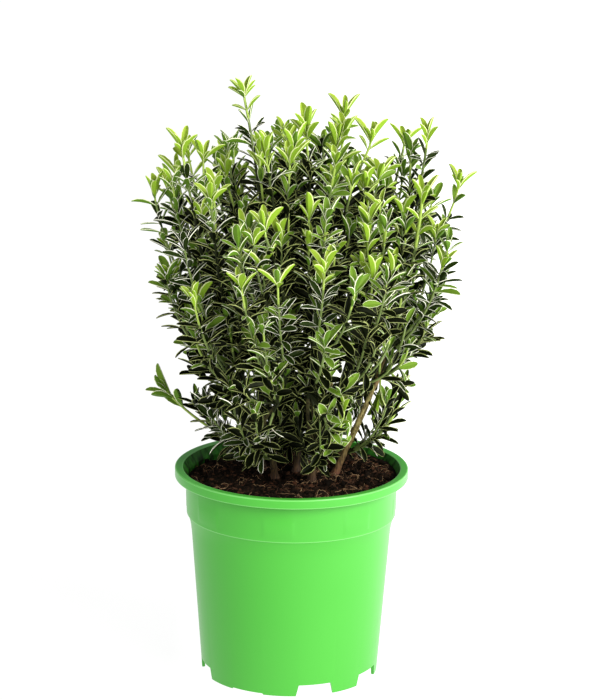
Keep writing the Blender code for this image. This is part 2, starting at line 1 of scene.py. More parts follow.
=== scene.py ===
"""Looks of the potted box-leaf euonymus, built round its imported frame.

Metres, +Z up, and -Y faces the viewer. The stems, boughs and shoots follow the same seeded rule
as the solids, carried on to finer shoots and to leaves of the plant's real size. Heights that are
given above the ground are counted from the soil's top, where the stems stand.
"""

import logging
import math
from dataclasses import dataclass, field
from enum import IntEnum
from random import Random

import bmesh
import bpy
import numpy as np
from mathutils import Matrix, Vector, noise

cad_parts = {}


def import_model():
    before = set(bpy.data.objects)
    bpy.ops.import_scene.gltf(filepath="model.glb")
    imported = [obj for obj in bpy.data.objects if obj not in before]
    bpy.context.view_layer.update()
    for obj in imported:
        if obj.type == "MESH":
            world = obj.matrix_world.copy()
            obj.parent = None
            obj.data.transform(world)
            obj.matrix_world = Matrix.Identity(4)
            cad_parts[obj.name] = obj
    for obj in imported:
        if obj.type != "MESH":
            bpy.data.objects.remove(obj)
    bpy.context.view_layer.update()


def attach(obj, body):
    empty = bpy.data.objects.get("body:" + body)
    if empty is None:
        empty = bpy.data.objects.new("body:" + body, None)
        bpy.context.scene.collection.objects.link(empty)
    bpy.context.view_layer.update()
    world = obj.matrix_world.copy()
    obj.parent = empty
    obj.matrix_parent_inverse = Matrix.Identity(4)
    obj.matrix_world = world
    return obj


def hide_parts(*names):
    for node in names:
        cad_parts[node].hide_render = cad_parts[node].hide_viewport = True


LOG = logging.getLogger("potted_euonymus")
BODY = "root"
SEED = 4117
UP = Vector((0.0, 0.0, 1.0))
GOLDEN_ANGLE = math.pi * (3.0 - math.sqrt(5.0))
TOUCHING = 1e-6
STEEP = 0.95

# A pair is the two ends of a range, or a radius and a height
Pair = tuple[float, float]
Triple = tuple[float, float, float]
Colour = Triple
Profile = list[Triple]
Path = list[Vector]
Face = bpy.types.MeshPolygon
Material = bpy.types.Material
Object = bpy.types.Object
Socket = bpy.types.NodeSocket


def srgb(red: int, green: int, blue: int) -> Colour:
    """A colour as linear light, from its 0 to 255 display values."""
    shares = (value / 255.0 for value in (red, green, blue))
    return tuple(s / 12.92 if s <= 0.04045 else ((s + 0.055) / 1.055) ** 2.4 for s in shares)


# Random numbers: a side shoot draws them as it does in the solids


def mass_rng(mass: int) -> Random:
    """What the shoots of a mass are aged by."""
    return Random(SEED + 5000 + mass)


def shoot_rng(mass: int, shoot: int) -> Random:
    """What a side shoot grows by."""
    return Random(SEED + 101 * mass + 7 * shoot + 3)


def leaf_rng(mass: int, shoot: int) -> Random:
    """What a shoot's leaves are dealt by."""
    return Random(SEED + 9000 + 53 * mass + shoot)


# Shares and paths


def share_from(value: float, start: float, span: float) -> float:
    """How far a value has gone from a start over a span, from 0 to 1."""
    return min(1.0, max(0.0, (value - start) / span))


def around(middle: Vector, angle: float, radius: float, height: float = 0.0) -> Vector:
    """The point at an angle, radius and height from a middle point."""
    return middle + Vector((radius * math.cos(angle), radius * math.sin(angle), height))


def bow(start: Vector, bend: Vector, end: Vector, steps: int) -> Path:
    """Points along a smooth bow from start to end, drawn towards bend."""
    shares = [i / steps for i in range(steps + 1)]
    return [start.lerp(bend, t).lerp(bend.lerp(end, t), t) for t in shares]


def along(path: Path, share: float) -> tuple[Vector, Vector]:
    """The point and direction at a share of a path's points.

    Args:
        path: The points of the path.
        share: From 0 at its start to 1 at its end.

    Returns:
        The point, and the unit direction there.
    """
    at = share * (len(path) - 1)
    i = min(int(at), len(path) - 2)
    return path[i].lerp(path[i + 1], at - i), (path[i + 1] - path[i]).normalized()


def path_length(path: Path) -> float:
    """The length of a path."""
    return sum((b - a).length for a, b in zip(path, path[1:]))


def side_of(direction: Vector, turn: float) -> Vector:
    """A unit vector square to a direction, turned about it."""
    across = direction.cross(UP if abs(direction.z) < STEEP else Vector((1.0, 0.0, 0.0))).normalized()
    return across * math.cos(turn) + direction.cross(across) * math.sin(turn)


def tapered(count: int, foot: float, tip: float) -> list[float]:
    """Radii that run evenly from foot to tip over a number of points."""
    return [foot + (tip - foot) * i / (count - 1) for i in range(count)]


# Meshes and node trees


def link_mesh(name: str, mesh: bpy.types.Mesh) -> Object:
    """Puts a mesh into the scene as an object at the origin."""
    obj = bpy.data.objects.new(name, mesh)
    bpy.context.scene.collection.objects.link(obj)
    return obj


def mesh_from(name: str, bm: bmesh.types.BMesh) -> Object:
    """Turns a bmesh into a linked object with its faces pointing out."""
    bmesh.ops.recalc_face_normals(bm, faces=bm.faces)
    mesh = bpy.data.meshes.new(name)
    bm.to_mesh(mesh)
    bm.free()
    return link_mesh(name, mesh)


def add_attribute(mesh: bpy.types.Mesh, name: str, kind: str, domain: str, values: list) -> None:
    """Stores one value for each point or face of a mesh.

    Args:
        mesh: The mesh.
        name: The attribute's name.
        kind: Its type, such as INT, FLOAT or FLOAT_VECTOR.
        domain: POINT or FACE.
        values: The values, in order.
    """
    attribute = mesh.attributes.new(name, kind, domain)
    slot = "vector" if kind == "FLOAT_VECTOR" else "value"
    number = np.float32 if "FLOAT" in kind else np.int32
    attribute.data.foreach_set(slot, np.array(values, dtype=number).ravel())


class Nodes:
    """What adds nodes to a node tree."""

    group: bpy.types.NodeTree

    def fill(self, socket: Socket, value: object) -> None:
        """Joins an output to a node's input, or sets the input's own value."""
        if isinstance(value, Socket):
            self.group.links.new(value, socket)
        else:
            socket.default_value = value

    def add(self, kind: str, settings: dict | None = None, **inputs: object) -> Socket:
        """Adds a node and fills its inputs.

        Args:
            kind: The node's type.
            settings: The node's own properties.
            **inputs: A value or an output for each input, by its name with _ for a space.

        Returns:
            The node's first output in use.
        """
        node = self.group.nodes.new(kind)
        for key, value in (settings or {}).items():
            setattr(node, key, value)
        for key, value in inputs.items():
            label = key.replace("_", " ")
            self.fill(next(s for s in node.inputs if s.enabled and s.name == label), value)
        return next(s for s in node.outputs if s.enabled)


class NodeTree(Nodes):
    """A Geometry Nodes tree with named inputs."""

    def __init__(self, name: str, inputs: dict[str, str]) -> None:
        """Starts the tree.

        Args:
            name: The tree's name.
            inputs: Each input's name and its kind, such as Float, Int, Object or Material.
        """
        self.group = bpy.data.node_groups.new(name, "GeometryNodeTree")
        self.new_socket("Geometry", "INPUT", "Geometry")
        self.new_socket("Geometry", "OUTPUT", "Geometry")
        for label, kind in inputs.items():
            self.new_socket(label, "INPUT", kind)
        self.inputs = self.group.nodes.new("NodeGroupInput").outputs
        self.result = self.group.nodes.new("NodeGroupOutput").inputs[0]

    def new_socket(self, name: str, in_out: str, kind: str) -> None:
        """Adds a socket to the tree's own interface."""
        self.group.interface.new_socket(name=name, in_out=in_out, socket_type="NodeSocket" + kind)

    def maths(self, kind: str, operation: str, *values: object) -> Socket:
        """Adds a math node.

        Args:
            kind: ShaderNodeMath, or ShaderNodeVectorMath for vectors.
            operation: What it works out.
            *values: A value or an output for each of its inputs, in order.

        Returns:
            Its result.
        """
        node = self.group.nodes.new(kind)
        node.operation = operation
        for socket, value in zip([s for s in node.inputs if s.enabled], values):
            self.fill(socket, value)
        return next(s for s in node.outputs if s.enabled)

    def attribute(self, name: str, kind: str) -> Socket:
        """The output of a named attribute."""
        return self.add("GeometryNodeInputNamedAttribute", {"data_type": kind}, Name=name)

    def shelf(self, shapes: list[Object]) -> Socket:
        """A shelf of shapes, in order, that instances are picked from.

        Args:
            shapes: The shapes' objects.

        Returns:
            The shelf's instances.
        """
        shelf = self.group.nodes.new("GeometryNodeGeometryToInstance")
        for shape in reversed(shapes):
            info = self.group.nodes.new("GeometryNodeObjectInfo")
            info.inputs["Object"].default_value = shape
            self.group.links.new(info.outputs["Geometry"], shelf.inputs[0])
        return shelf.outputs[0]

    def dress(self, geometry: Socket, choice: str, materials: list) -> Socket:
        """Sets materials by a whole-number attribute of the faces.

        Args:
            geometry: What is dressed.
            choice: The attribute that numbers each face's material.
            materials: The materials, in order.

        Returns:
            The dressed geometry.
        """
        number = self.attribute(choice, "INT")
        for i, material in enumerate(materials):
            own = self.add("FunctionNodeCompare", {"data_type": "INT", "operation": "EQUAL"}, A=number, B=i)
            geometry = self.add("GeometryNodeSetMaterial", Geometry=geometry, Selection=own,
                                Material=material)
        return geometry

    def end(self, geometry: Socket) -> None:
        """Joins the tree's result."""
        self.group.links.new(geometry, self.result)

    def apply(self, source: Object, name: str, **values: object) -> Object:
        """Runs the tree on an object and keeps the result as a plain mesh.

        Args:
            source: The object whose mesh the tree starts from. It is removed.
            name: The finished piece's name.
            **values: A value for each of the tree's inputs, by its name with _ for a space.

        Returns:
            The finished piece, at the origin.
        """
        modifier = source.modifiers.new("tree", "NODES")
        modifier.node_group = self.group
        for item in self.group.interface.items_tree:
            label = item.name.replace(" ", "_")
            if item.in_out == "INPUT" and label in values:
                modifier[item.identifier] = values[label]
        graph = bpy.context.evaluated_depsgraph_get()
        mesh = bpy.data.meshes.new_from_object(source.evaluated_get(graph))
        mesh.name = name
        bpy.data.objects.remove(source, do_unlink=True)
        return link_mesh(name, mesh)


def hand_over(piece: Object, slot: str, *nodes: str) -> None:
    """Lets a finished piece ride on the plant and stand for its nodes.

    Args:
        piece: The finished piece.
        slot: The record's material slot. It is not used.
        *nodes: The nodes that it replaces.
    """
    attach(piece, BODY)
    if nodes:
        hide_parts(*nodes)
    LOG.info("%s: %d faces", piece.name, len(piece.data.polygons))


# Finishes


@dataclass(frozen=True)
class PlainFinish:
    """A finish of one colour, for leaves and green shoots, which are dealt out by spray."""

    name: str
    colour: Colour
    roughness: float = 0.45
    specular: float = 0.5
    gloss_tint: Colour = (1.0, 1.0, 1.0)

    def material(self) -> Material:
        """The finish as a material, made once."""
        made = bpy.data.materials.get(self.name)
        if made:
            return made
        material = bpy.data.materials.new(self.name)
        material.use_nodes = True
        inputs = material.node_tree.nodes["Principled BSDF"].inputs
        inputs["Base Color"].default_value = (*self.colour, 1.0)
        inputs["Roughness"].default_value = self.roughness
        inputs["Specular IOR Level"].default_value = self.specular
        inputs["Specular Tint"].default_value = (*self.gloss_tint, 1.0)
        return material


class PatternMaterial(Nodes):
    """A material under construction, whose patterns read Object coordinates."""

    def __init__(self, name: str) -> None:
        """Starts the material with its shader.

        Args:
            name: The material's name.
        """
        self.material = bpy.data.materials.new(name)
        self.material.use_nodes = True
        self.group = self.material.node_tree
        self.shader = self.group.nodes["Principled BSDF"]
        self.place = self.group.nodes.new("ShaderNodeTexCoord").outputs["Object"]

    def stretched(self, scale: Triple) -> Socket:
        """Object coordinates, scaled along each axis."""
        return self.add("ShaderNodeMapping", Vector=self.place, Scale=scale)

    def noise(self, scale: float, detail: float = 4.0, place: Socket | None = None) -> Socket:
        """A noise from 0 to 1, with a number of waves for each metre and a number of octaves."""
        return self.add("ShaderNodeTexNoise", Vector=place or self.place, Scale=scale, Detail=detail)

    def ramp(self, share: Socket, stops: tuple[float, ...], colours: tuple[Colour, ...]) -> Socket:
        """Colours blended along a share.

        Args:
            share: The share, from 0 to 1.
            stops: Where each colour lies.
            colours: The colours.

        Returns:
            The colour's output.
        """
        output = self.add("ShaderNodeValToRGB", Fac=share)
        elements = output.node.color_ramp.elements
        while len(elements) < len(stops):
            elements.new(0.5)
        for element, place, colour in zip(elements, stops, colours):
            element.position = place
            element.color = (*colour, 1.0)
        return output

    def span(self, share: Socket, low: float, high: float) -> Socket:
        """A share spread over a range of values."""
        return self.add("ShaderNodeMapRange", Value=share, To_Min=low, To_Max=high)

    def rise(self, low: float, high: float, axis: str = "Z") -> Socket:
        """A share that grows from 0 at one place on an axis to 1 at another."""
        place = self.add("ShaderNodeSeparateXYZ", Vector=self.place).node.outputs[axis]
        return self.add("ShaderNodeMapRange", Value=place, From_Min=low, From_Max=high)

    def mixed(self, share: Socket, first: Socket, second: Socket) -> Socket:
        """Two colours blended by a share."""
        return self.add("ShaderNodeMix", {"data_type": "RGBA"}, Factor=share, A=first, B=second)

    def set(self, socket: str, value: Socket | float | tuple[float, ...]) -> None:
        """Joins or sets one of the shader's inputs."""
        self.fill(self.shader.inputs[socket], value)

    def gloss(self, share: Socket, roughness: Pair, specular: float) -> None:
        """Sets how rough the surface is, by a share, and how much it mirrors."""
        self.set("Roughness", self.span(share, *roughness))
        self.set("Specular IOR Level", specular)

    def bump(self, height: Socket, depth: float) -> None:
        """Gives the surface a relief of a depth in metres."""
        self.set("Normal", self.add("ShaderNodeBump", Distance=depth, Height=height))


@dataclass(frozen=True)
class PotFinish:
    """Glossy light green moulded plastic, with the faint flow of the mould."""

    old_shaded: Colour = srgb(66, 166, 48)
    light: Colour = srgb(72, 172, 54)
    cloud_scale: float = 9.0
    flow_scale: float = 26.0
    flow_stretch: Triple = (1.0, 1.0, 0.25)
    flow_depth: float = 0.00012
    gloss_scale: float = 12.0
    roughness: Pair = (0.29, 0.37)
    specular: float = 0.4

    def material(self) -> Material:
        """The finish as a material."""
        paint = PatternMaterial("pot_green_plastic")
        cloud = paint.noise(self.cloud_scale, detail=2.0)
        paint.set("Base Color", paint.ramp(cloud, (0.0, 1.0), (self.old_shaded, self.light)))
        paint.gloss(paint.noise(self.gloss_scale, detail=1.0), self.roughness, self.specular)
        flow = paint.noise(self.flow_scale, detail=2.0, place=paint.stretched(self.flow_stretch))
        paint.bump(flow, self.flow_depth)
        return paint.material


@dataclass(frozen=True)
class SmearedShadedFinish:
    """The pot's inner wall: peat smears up from the soil's edge, and painted shade that darkens the whole
    wall and lies in patches higher up.
    """

    # All three colours are darker than the pot's outer green as painted shade; the smeared one is also peat.
    clean: Colour = srgb(58, 142, 38)
    shade_patch: Colour = srgb(38, 94, 24)
    smeared: Colour = srgb(22, 34, 11)
    clean_height: float = 0.177
    soil_height: float = 0.163
    smear_scale: float = 150.0
    smear_stretch: Triple = (1.0, 1.0, 0.5)
    low_stops: Pair = (0.40, 0.66)
    high_stops: Pair = (0.3, 0.7)
    roughness: Pair = (0.7, 0.4)
    specular: float = 0.1

    def material(self) -> Material:
        """The finish as a material."""
        paint = PatternMaterial("pot_green_stained")
        smears = paint.noise(self.smear_scale, detail=5.0, place=paint.stretched(self.smear_stretch))
        low = paint.ramp(smears, self.low_stops, (self.smeared, self.clean))
        high = paint.ramp(smears, self.high_stops, (self.shade_patch, self.clean))
        paint.set("Base Color", paint.mixed(paint.rise(self.soil_height, self.clean_height), low, high))
        paint.gloss(smears, self.roughness, self.specular)
        return paint.material


@dataclass(frozen=True)
class SoilFinish:
    """Dark moist peat with paler grains."""

    name: str = "soil_dark_peat"
    dark: Colour = srgb(11, 8, 5)
    mid: Colour = srgb(28, 20, 13)
    pale: Colour = srgb(58, 41, 29)
    grain_scale: float = 420.0
    grain_stops: Triple = (0.40, 0.58, 0.74)
    grain_depth: float = 0.0006
    gloss_scale: float = 714.0
    roughness: Pair = (0.75, 1.0)
    specular: float = 0.06

    def material(self) -> Material:
        """The finish as a material."""
        paint = PatternMaterial(self.name)
        grain = paint.noise(self.grain_scale, detail=6.0)
        paint.set("Base Color", paint.ramp(grain, self.grain_stops, (self.dark, self.mid, self.pale)))
        paint.gloss(paint.noise(self.gloss_scale, detail=3.0), self.roughness, self.specular)
        paint.bump(grain, self.grain_depth)
        return paint.material


@dataclass(frozen=True)
class BarkFinish:
    """Brown young bark with fine ridges along the stem and a grey-green bloom."""

    name: str = "bark_brown"
    foot_furrow: Colour = srgb(44, 28, 18)
    foot_ridge: Colour = srgb(104, 66, 42)
    # Above the foot these colours are lighter than the bark itself: painted light for the shown stem.
    furrow: Colour = srgb(84, 72, 40)
    ridge: Colour = srgb(158, 142, 86)
    bloom: Colour = srgb(146, 150, 88)
    ridge_scale: float = 900.0
    ridge_stretch: Triple = (1.0, 1.0, 0.12)
    ridge_depth: float = 0.0003
    foot_stops: Pair = (0.38, 0.62)
    stops: Triple = (0.38, 0.55, 0.72)
    foot_height: float = 0.168
    top_height: float = 0.200
    gloss_scale: float = 300.0
    roughness: Pair = (0.6, 0.9)
    specular: float = 0.3

    def material(self) -> Material:
        """The finish as a material."""
        paint = PatternMaterial(self.name)
        ridges = paint.noise(self.ridge_scale, detail=4.0, place=paint.stretched(self.ridge_stretch))
        foot = paint.ramp(ridges, self.foot_stops, (self.foot_furrow, self.foot_ridge))
        above = paint.ramp(ridges, self.stops, (self.furrow, self.ridge, self.bloom))
        paint.set("Base Color", paint.mixed(paint.rise(self.foot_height, self.top_height), foot, above))
        paint.gloss(paint.noise(self.gloss_scale), self.roughness, self.specular)
        paint.bump(ridges, self.ridge_depth)
        return paint.material


class Tint(IntEnum):
    """How old a spray's leaves are, from its lime tip to the darkest tint, which is also painted shade for
    the crown's inside and its low sprays.
    """

    YOUNG = 0
    FRESH = 1
    GREEN = 2
    OLD_SHADED = 3


class Zone(IntEnum):
    """The parts of a leaf."""

    BLADE = 0
    MARGIN = 1
    UNDERSIDE = 2


class Wood(IntEnum):
    """The parts of a shoot's own stem."""

    LIME = 0
    GREEN = 1
    SHADED = 2
    BROWN = 3


@dataclass(frozen=True)
class LeafFinishes:
    """The finish of each part of a leaf at each age."""

    # The last tint's near-black blade and dim margin are painted shade for leaves inside and low in the
    # crown.
    blade: tuple[Colour, ...] = (srgb(148, 173, 58), srgb(102, 134, 41), srgb(30, 46, 9), srgb(5, 9, 1))
    margin: tuple[Colour, ...] = (
        srgb(222, 233, 162),
        srgb(243, 247, 210),
        srgb(252, 252, 232),
        srgb(172, 182, 112),
    )
    underside: tuple[Colour, ...] = (srgb(136, 172, 46), srgb(90, 126, 36), srgb(32, 47, 11), srgb(12, 19, 4))
    gloss: tuple[float, ...] = (0.45, 0.42, 0.40, 0.42)
    specular: float = 0.10
    gloss_tint: Colour = (0.90, 1.0, 0.62)
    underside_gloss: float = 0.6

    def materials(self) -> list[Material]:
        """The materials, zone by zone and tint by tint."""
        made = []
        for zone, colours in zip(Zone, (self.blade, self.margin, self.underside)):
            for tint in Tint:
                gloss = self.underside_gloss if zone == Zone.UNDERSIDE else self.gloss[tint]
                name = f"leaf_{zone.name.lower()}_{tint.name.lower()}"
                finish = PlainFinish(name, colours[tint], gloss, self.specular, self.gloss_tint)
                made.append(finish.material())
        return made


# Pot


def is_near(face: Face, corners: Profile) -> bool:
    """Whether a face is on one of the corners of a profile, within the corner's rounding."""
    radius, height = face.center.to_2d().length, face.center.z
    return any(max(abs(radius - r), abs(height - h)) < reach for r, h, reach in corners)


@dataclass
class Pot:
    """The moulded pot: a tapering body, a wider collar with a rolled lip, and a notched foot ring."""

    height: float = 0.1725
    segments: int = 160
    corner_steps: int = 4
    lip_radius: float = 0.0950
    lip_width: float = 0.0063
    lip_height: float = 0.0076
    lip_wall: float = 0.0013
    outer_round: float = 0.0011
    inner_round: float = 0.0007
    low_round: float = 0.0008
    hem_round: float = 0.0005
    ring_round: float = 0.0006
    soft_round: float = 0.0010
    neck_round: float = 0.0012
    ledge_round: float = 0.0004
    waist_round: float = 0.0080
    round_limit: float = 0.45
    lip_top_walls: float = 2.4
    collar_top: float = 0.0862
    collar_foot: float = 0.0853
    collar_drop: float = 0.0386
    collar_step: float = 0.0055
    collar_ledge: float = 0.0011
    ledge_drop: float = 0.0002
    collar_blend: float = 0.0100
    plates: int = 8
    plate_turn: float = math.radians(-7.0)
    plate_width: float = math.radians(17.0)
    plate_heights: Pair = (0.0045, 0.0175)
    plate_relief: float = 0.00015
    plate_edge: float = 0.00045
    body_top: float = 0.0819
    foot: float = 0.0722
    wall: float = 0.0014
    foot_ring: float = 0.0024
    floor_underside: float = 0.0106
    floor_thick: float = 0.0018
    pad_radius: float = 0.0380
    pad_thick: float = 0.0022
    pad_slope: float = 0.0050
    notches: int = 8
    notch_turn: float = math.radians(-73.0)
    notch_height: float = 0.0096
    shallow_notch: float = 0.0013
    notch_foot_width: float = 0.0320
    notch_top_width: float = 0.0270
    notch_past: Pair = (0.004, 0.006)
    cut_past: float = 0.002
    slot_width: float = 0.0110
    slot_reach: float = 0.0085
    slot_inset: float = 0.0055
    sharp_angle: float = math.radians(40.0)
    finish: PotFinish = PotFinish()
    inside_finish: SmearedShadedFinish = SmearedShadedFinish()
    # A paler green on the edges of the lip and the collar: a painted highlight.
    highlight_finish: PlainFinish = PlainFinish("pot_green_worn_edge", srgb(104, 193, 90), 0.35)

    def inner_profile(self, gap: float = 0.0) -> Profile:
        """The inner wall from the floor's middle to the lip: radius, height and corner rounding."""
        floor = self.floor_underside + self.floor_thick + gap
        step = self.height - self.collar_drop
        inside = self.wall + gap
        return [
            (0.0, self.pad_thick + gap, 0.0),
            (self.pad_radius - inside, self.pad_thick + gap, self.soft_round),
            (self.pad_radius + self.pad_slope - inside, floor, self.soft_round),
            (self.body_radius(floor) - inside, floor, self.soft_round),
            (self.body_top - inside, step - self.collar_step, self.soft_round),
            (self.collar_foot - inside, step, self.soft_round),
            (self.collar_top - inside, self.height - self.lip_height, self.soft_round),
        ]

    def collar_radius(self, above: float) -> float:
        """The collar's outer radius at a height above its lower edge."""
        span = self.collar_drop - self.lip_height
        return self.collar_foot + (self.collar_top - self.collar_foot) * above / span

    def body_radius(self, height: float) -> float:
        """The body's outer radius at a height."""
        waist = self.height - self.collar_drop - self.collar_step
        return self.foot + (self.body_top - self.foot) * height / waist

    def raise_plates(self, bm: bmesh.types.BMesh) -> None:
        """Raises the shallow plates that are moulded on the collar."""
        low, high = (self.height - self.collar_drop + h for h in self.plate_heights)
        for i in range(self.plates):
            middle = self.plate_turn + math.tau * i / self.plates
            plate = []
            for face in bm.faces:
                place = face.calc_center_median()
                away = math.remainder(math.atan2(place.x, -place.y) - middle, math.tau)
                outside = place.to_2d().length > self.collar_foot - self.wall / 2
                if low < place.z < high and outside and abs(away) < self.plate_width / 2:
                    plate.append(face)
            bmesh.ops.inset_region(bm, faces=plate, thickness=self.plate_edge, depth=self.plate_relief)

    def outer_profile(self) -> Profile:
        """The outer wall from the lip down to the foot's middle: radius, height and corner rounding."""
        lip_foot = self.height - self.lip_height
        lip_under = self.height - self.lip_wall * self.lip_top_walls
        step = self.height - self.collar_drop
        ring = self.foot - self.foot_ring
        return [
            (self.lip_radius - self.lip_width, self.height, self.inner_round),
            (self.lip_radius, self.height, self.outer_round),
            (self.lip_radius, lip_foot, self.low_round),
            (self.lip_radius - self.lip_wall, lip_foot, self.hem_round),
            (self.lip_radius - self.lip_wall, lip_under, self.ring_round),
            (self.collar_top + self.wall, lip_under, self.neck_round),
            (self.collar_top, lip_foot, self.neck_round),
            *((self.collar_radius(h), step + h, 0.0) for h in self.plate_heights[::-1]),
            (self.collar_foot, step, self.low_round),
            (self.collar_foot - self.collar_ledge, step - self.ledge_drop, self.ledge_round),
            (self.body_radius(step - self.collar_blend), step - self.collar_blend, self.waist_round),
            (self.foot, 0.0, self.ring_round),
            (ring, 0.0, self.ring_round),
            (ring, self.floor_underside, self.ring_round),
            (self.pad_radius + self.pad_slope, self.floor_underside, self.soft_round),
            (self.pad_radius, 0.0, self.soft_round),
            (0.0, 0.0, 0.0),
        ]

    def rounded(self, profile: Profile) -> list[Pair]:
        """A profile with its corners rounded.

        Args:
            profile: Radius, height and rounding of each corner.

        Returns:
            Radius and height of each point.
        """
        points = []
        for i, (radius, height, rounding) in enumerate(profile):
            corner = Vector((radius, height))
            if rounding == 0.0:
                points.append((radius, height))
                continue
            ends = []
            for beside in (profile[i - 1], profile[i + 1]):
                away = Vector(beside[:2]) - corner
                ends.append(corner + away.normalized() * min(rounding, away.length * self.round_limit))
            start, end = ends
            for step in range(self.corner_steps + 1):
                t = step / self.corner_steps
                place = start.lerp(corner, t).lerp(corner.lerp(end, t), t)
                points.append((place.x, place.y))
        return points

    def block(self, bm: bmesh.types.BMesh, angle: float, reach: Pair, heights: Pair, widths: Pair) -> None:
        """Adds a closed cutting block, square to a radius.

        Args:
            bm: The cutters' mesh.
            angle: Where it lies, from the front towards the right.
            reach: Its inner and outer radius.
            heights: Its lowest and highest height.
            widths: Its width at the bottom and at the top.
        """
        near, far = reach
        out = Vector((math.sin(angle), -math.cos(angle), 0.0))
        across = Vector((-out.y, out.x, 0.0))
        corners = []
        for height, width in zip(heights, widths):
            for radius, sign in ((near, -1), (far, -1), (far, 1), (near, 1)):
                corners.append(bm.verts.new(out * radius + across * (sign * width / 2) + UP * height))
        for face in ((3, 2, 1, 0), (4, 5, 6, 7), (0, 1, 5, 4), (1, 2, 6, 5), (2, 3, 7, 6), (3, 0, 4, 7)):
            bm.faces.new([corners[i] for i in face])

    def cutters(self) -> Object:
        """The notches and drain slots as one cutting mesh: two notches, a half turn apart, are shallow."""
        bm = bmesh.new()
        ring_inside = self.foot - self.foot_ring
        for i in range(self.notches):
            angle = self.notch_turn + math.tau * i / self.notches
            shallow = i % (self.notches // 2) == 1
            high = self.shallow_notch if shallow else self.notch_height
            reach = (ring_inside - self.notch_past[0], self.foot + self.notch_past[1])
            widths = (self.notch_foot_width, self.notch_top_width)
            self.block(bm, angle, reach, (-self.cut_past, high), widths)
            if not shallow:
                far = ring_inside - self.slot_inset
                low = self.floor_underside - self.cut_past
                high = self.floor_underside + self.floor_thick + self.cut_past
                self.block(bm, angle, (far - self.slot_reach, far), (low, high), (self.slot_width,) * 2)
        return mesh_from("pot_cutters", bm)

    def is_stained(self, face: Face) -> bool:
        """Whether a face is on the inner wall, up to the lip's inner edge, which takes the peat smears and
        painted shade.
        """
        inwards = face.normal.to_2d().dot(face.center.to_2d()) < 0.0
        within = face.center.to_2d().length < self.lip_radius - self.lip_width
        return inwards and within and self.floor_underside < face.center.z < self.height - self.inner_round

    def highlight_edges(self) -> Profile:
        """The edges of the lip and the collar that are painted pale as highlights: radius, height and
        rounding.
        """
        return [*self.outer_profile()[:3], (self.collar_foot, self.height - self.collar_drop, self.low_round)]

    def turned(self) -> Object:
        """The pot turned from its profile, with its plates and without its notches."""
        bm = bmesh.new()
        profile = self.rounded(self.inner_profile() + self.outer_profile())
        points = [bm.verts.new((radius, 0.0, height)) for radius, height in profile]
        edges = [bm.edges.new(pair) for pair in zip(points, points[1:])]
        bmesh.ops.spin(bm, geom=points + edges, cent=(0.0, 0.0, 0.0), axis=UP, angle=math.tau,
                       steps=self.segments, use_merge=True)
        bmesh.ops.remove_doubles(bm, verts=bm.verts, dist=TOUCHING)
        bmesh.ops.recalc_face_normals(bm, faces=bm.faces)
        self.raise_plates(bm)
        return mesh_from("pot_turned", bm)

    def build(self) -> None:
        """Turns the pot, cuts its foot, dresses it and hands it over."""
        pot, cutters = self.turned(), self.cutters()
        cut = pot.modifiers.new("notches", "BOOLEAN")
        cut.operation = "DIFFERENCE"
        cut.solver = "EXACT"
        cut.object = cutters
        graph = bpy.context.evaluated_depsgraph_get()
        mesh = bpy.data.meshes.new_from_object(pot.evaluated_get(graph))
        for old in (pot, cutters):
            bpy.data.objects.remove(old, do_unlink=True)
        mesh.materials.clear()
        for finish in (self.finish, self.inside_finish, self.highlight_finish):
            mesh.materials.append(finish.material())
        # The inner wall takes peat smears and painted shade; the lip's and collar's edges take the painted
        # highlight.
        highlight_edges = self.highlight_edges()
        for face in mesh.polygons:
            face.material_index = 1 if self.is_stained(face) else 2 if is_near(face, highlight_edges) else 0
        mesh.shade_smooth()
        mesh.set_sharp_from_angle(angle=self.sharp_angle)
        hand_over(link_mesh("pot_body", mesh), "pot", "pot")


# Soil


@dataclass(frozen=True)
class Lumps:
    """One size of lump in the soil's top, by fractal noise."""

    scale: float
    layer: float
    smoothness: float
    growth: float
    octaves: int
    share: float

    def height(self, x: float, y: float) -> float:
        """The lumps' height over a place, against the height of all the soil's lumps."""
        place = Vector((x * self.scale, y * self.scale, self.layer))
        return self.share * noise.fractal(place, self.smoothness, self.growth, self.octaves)


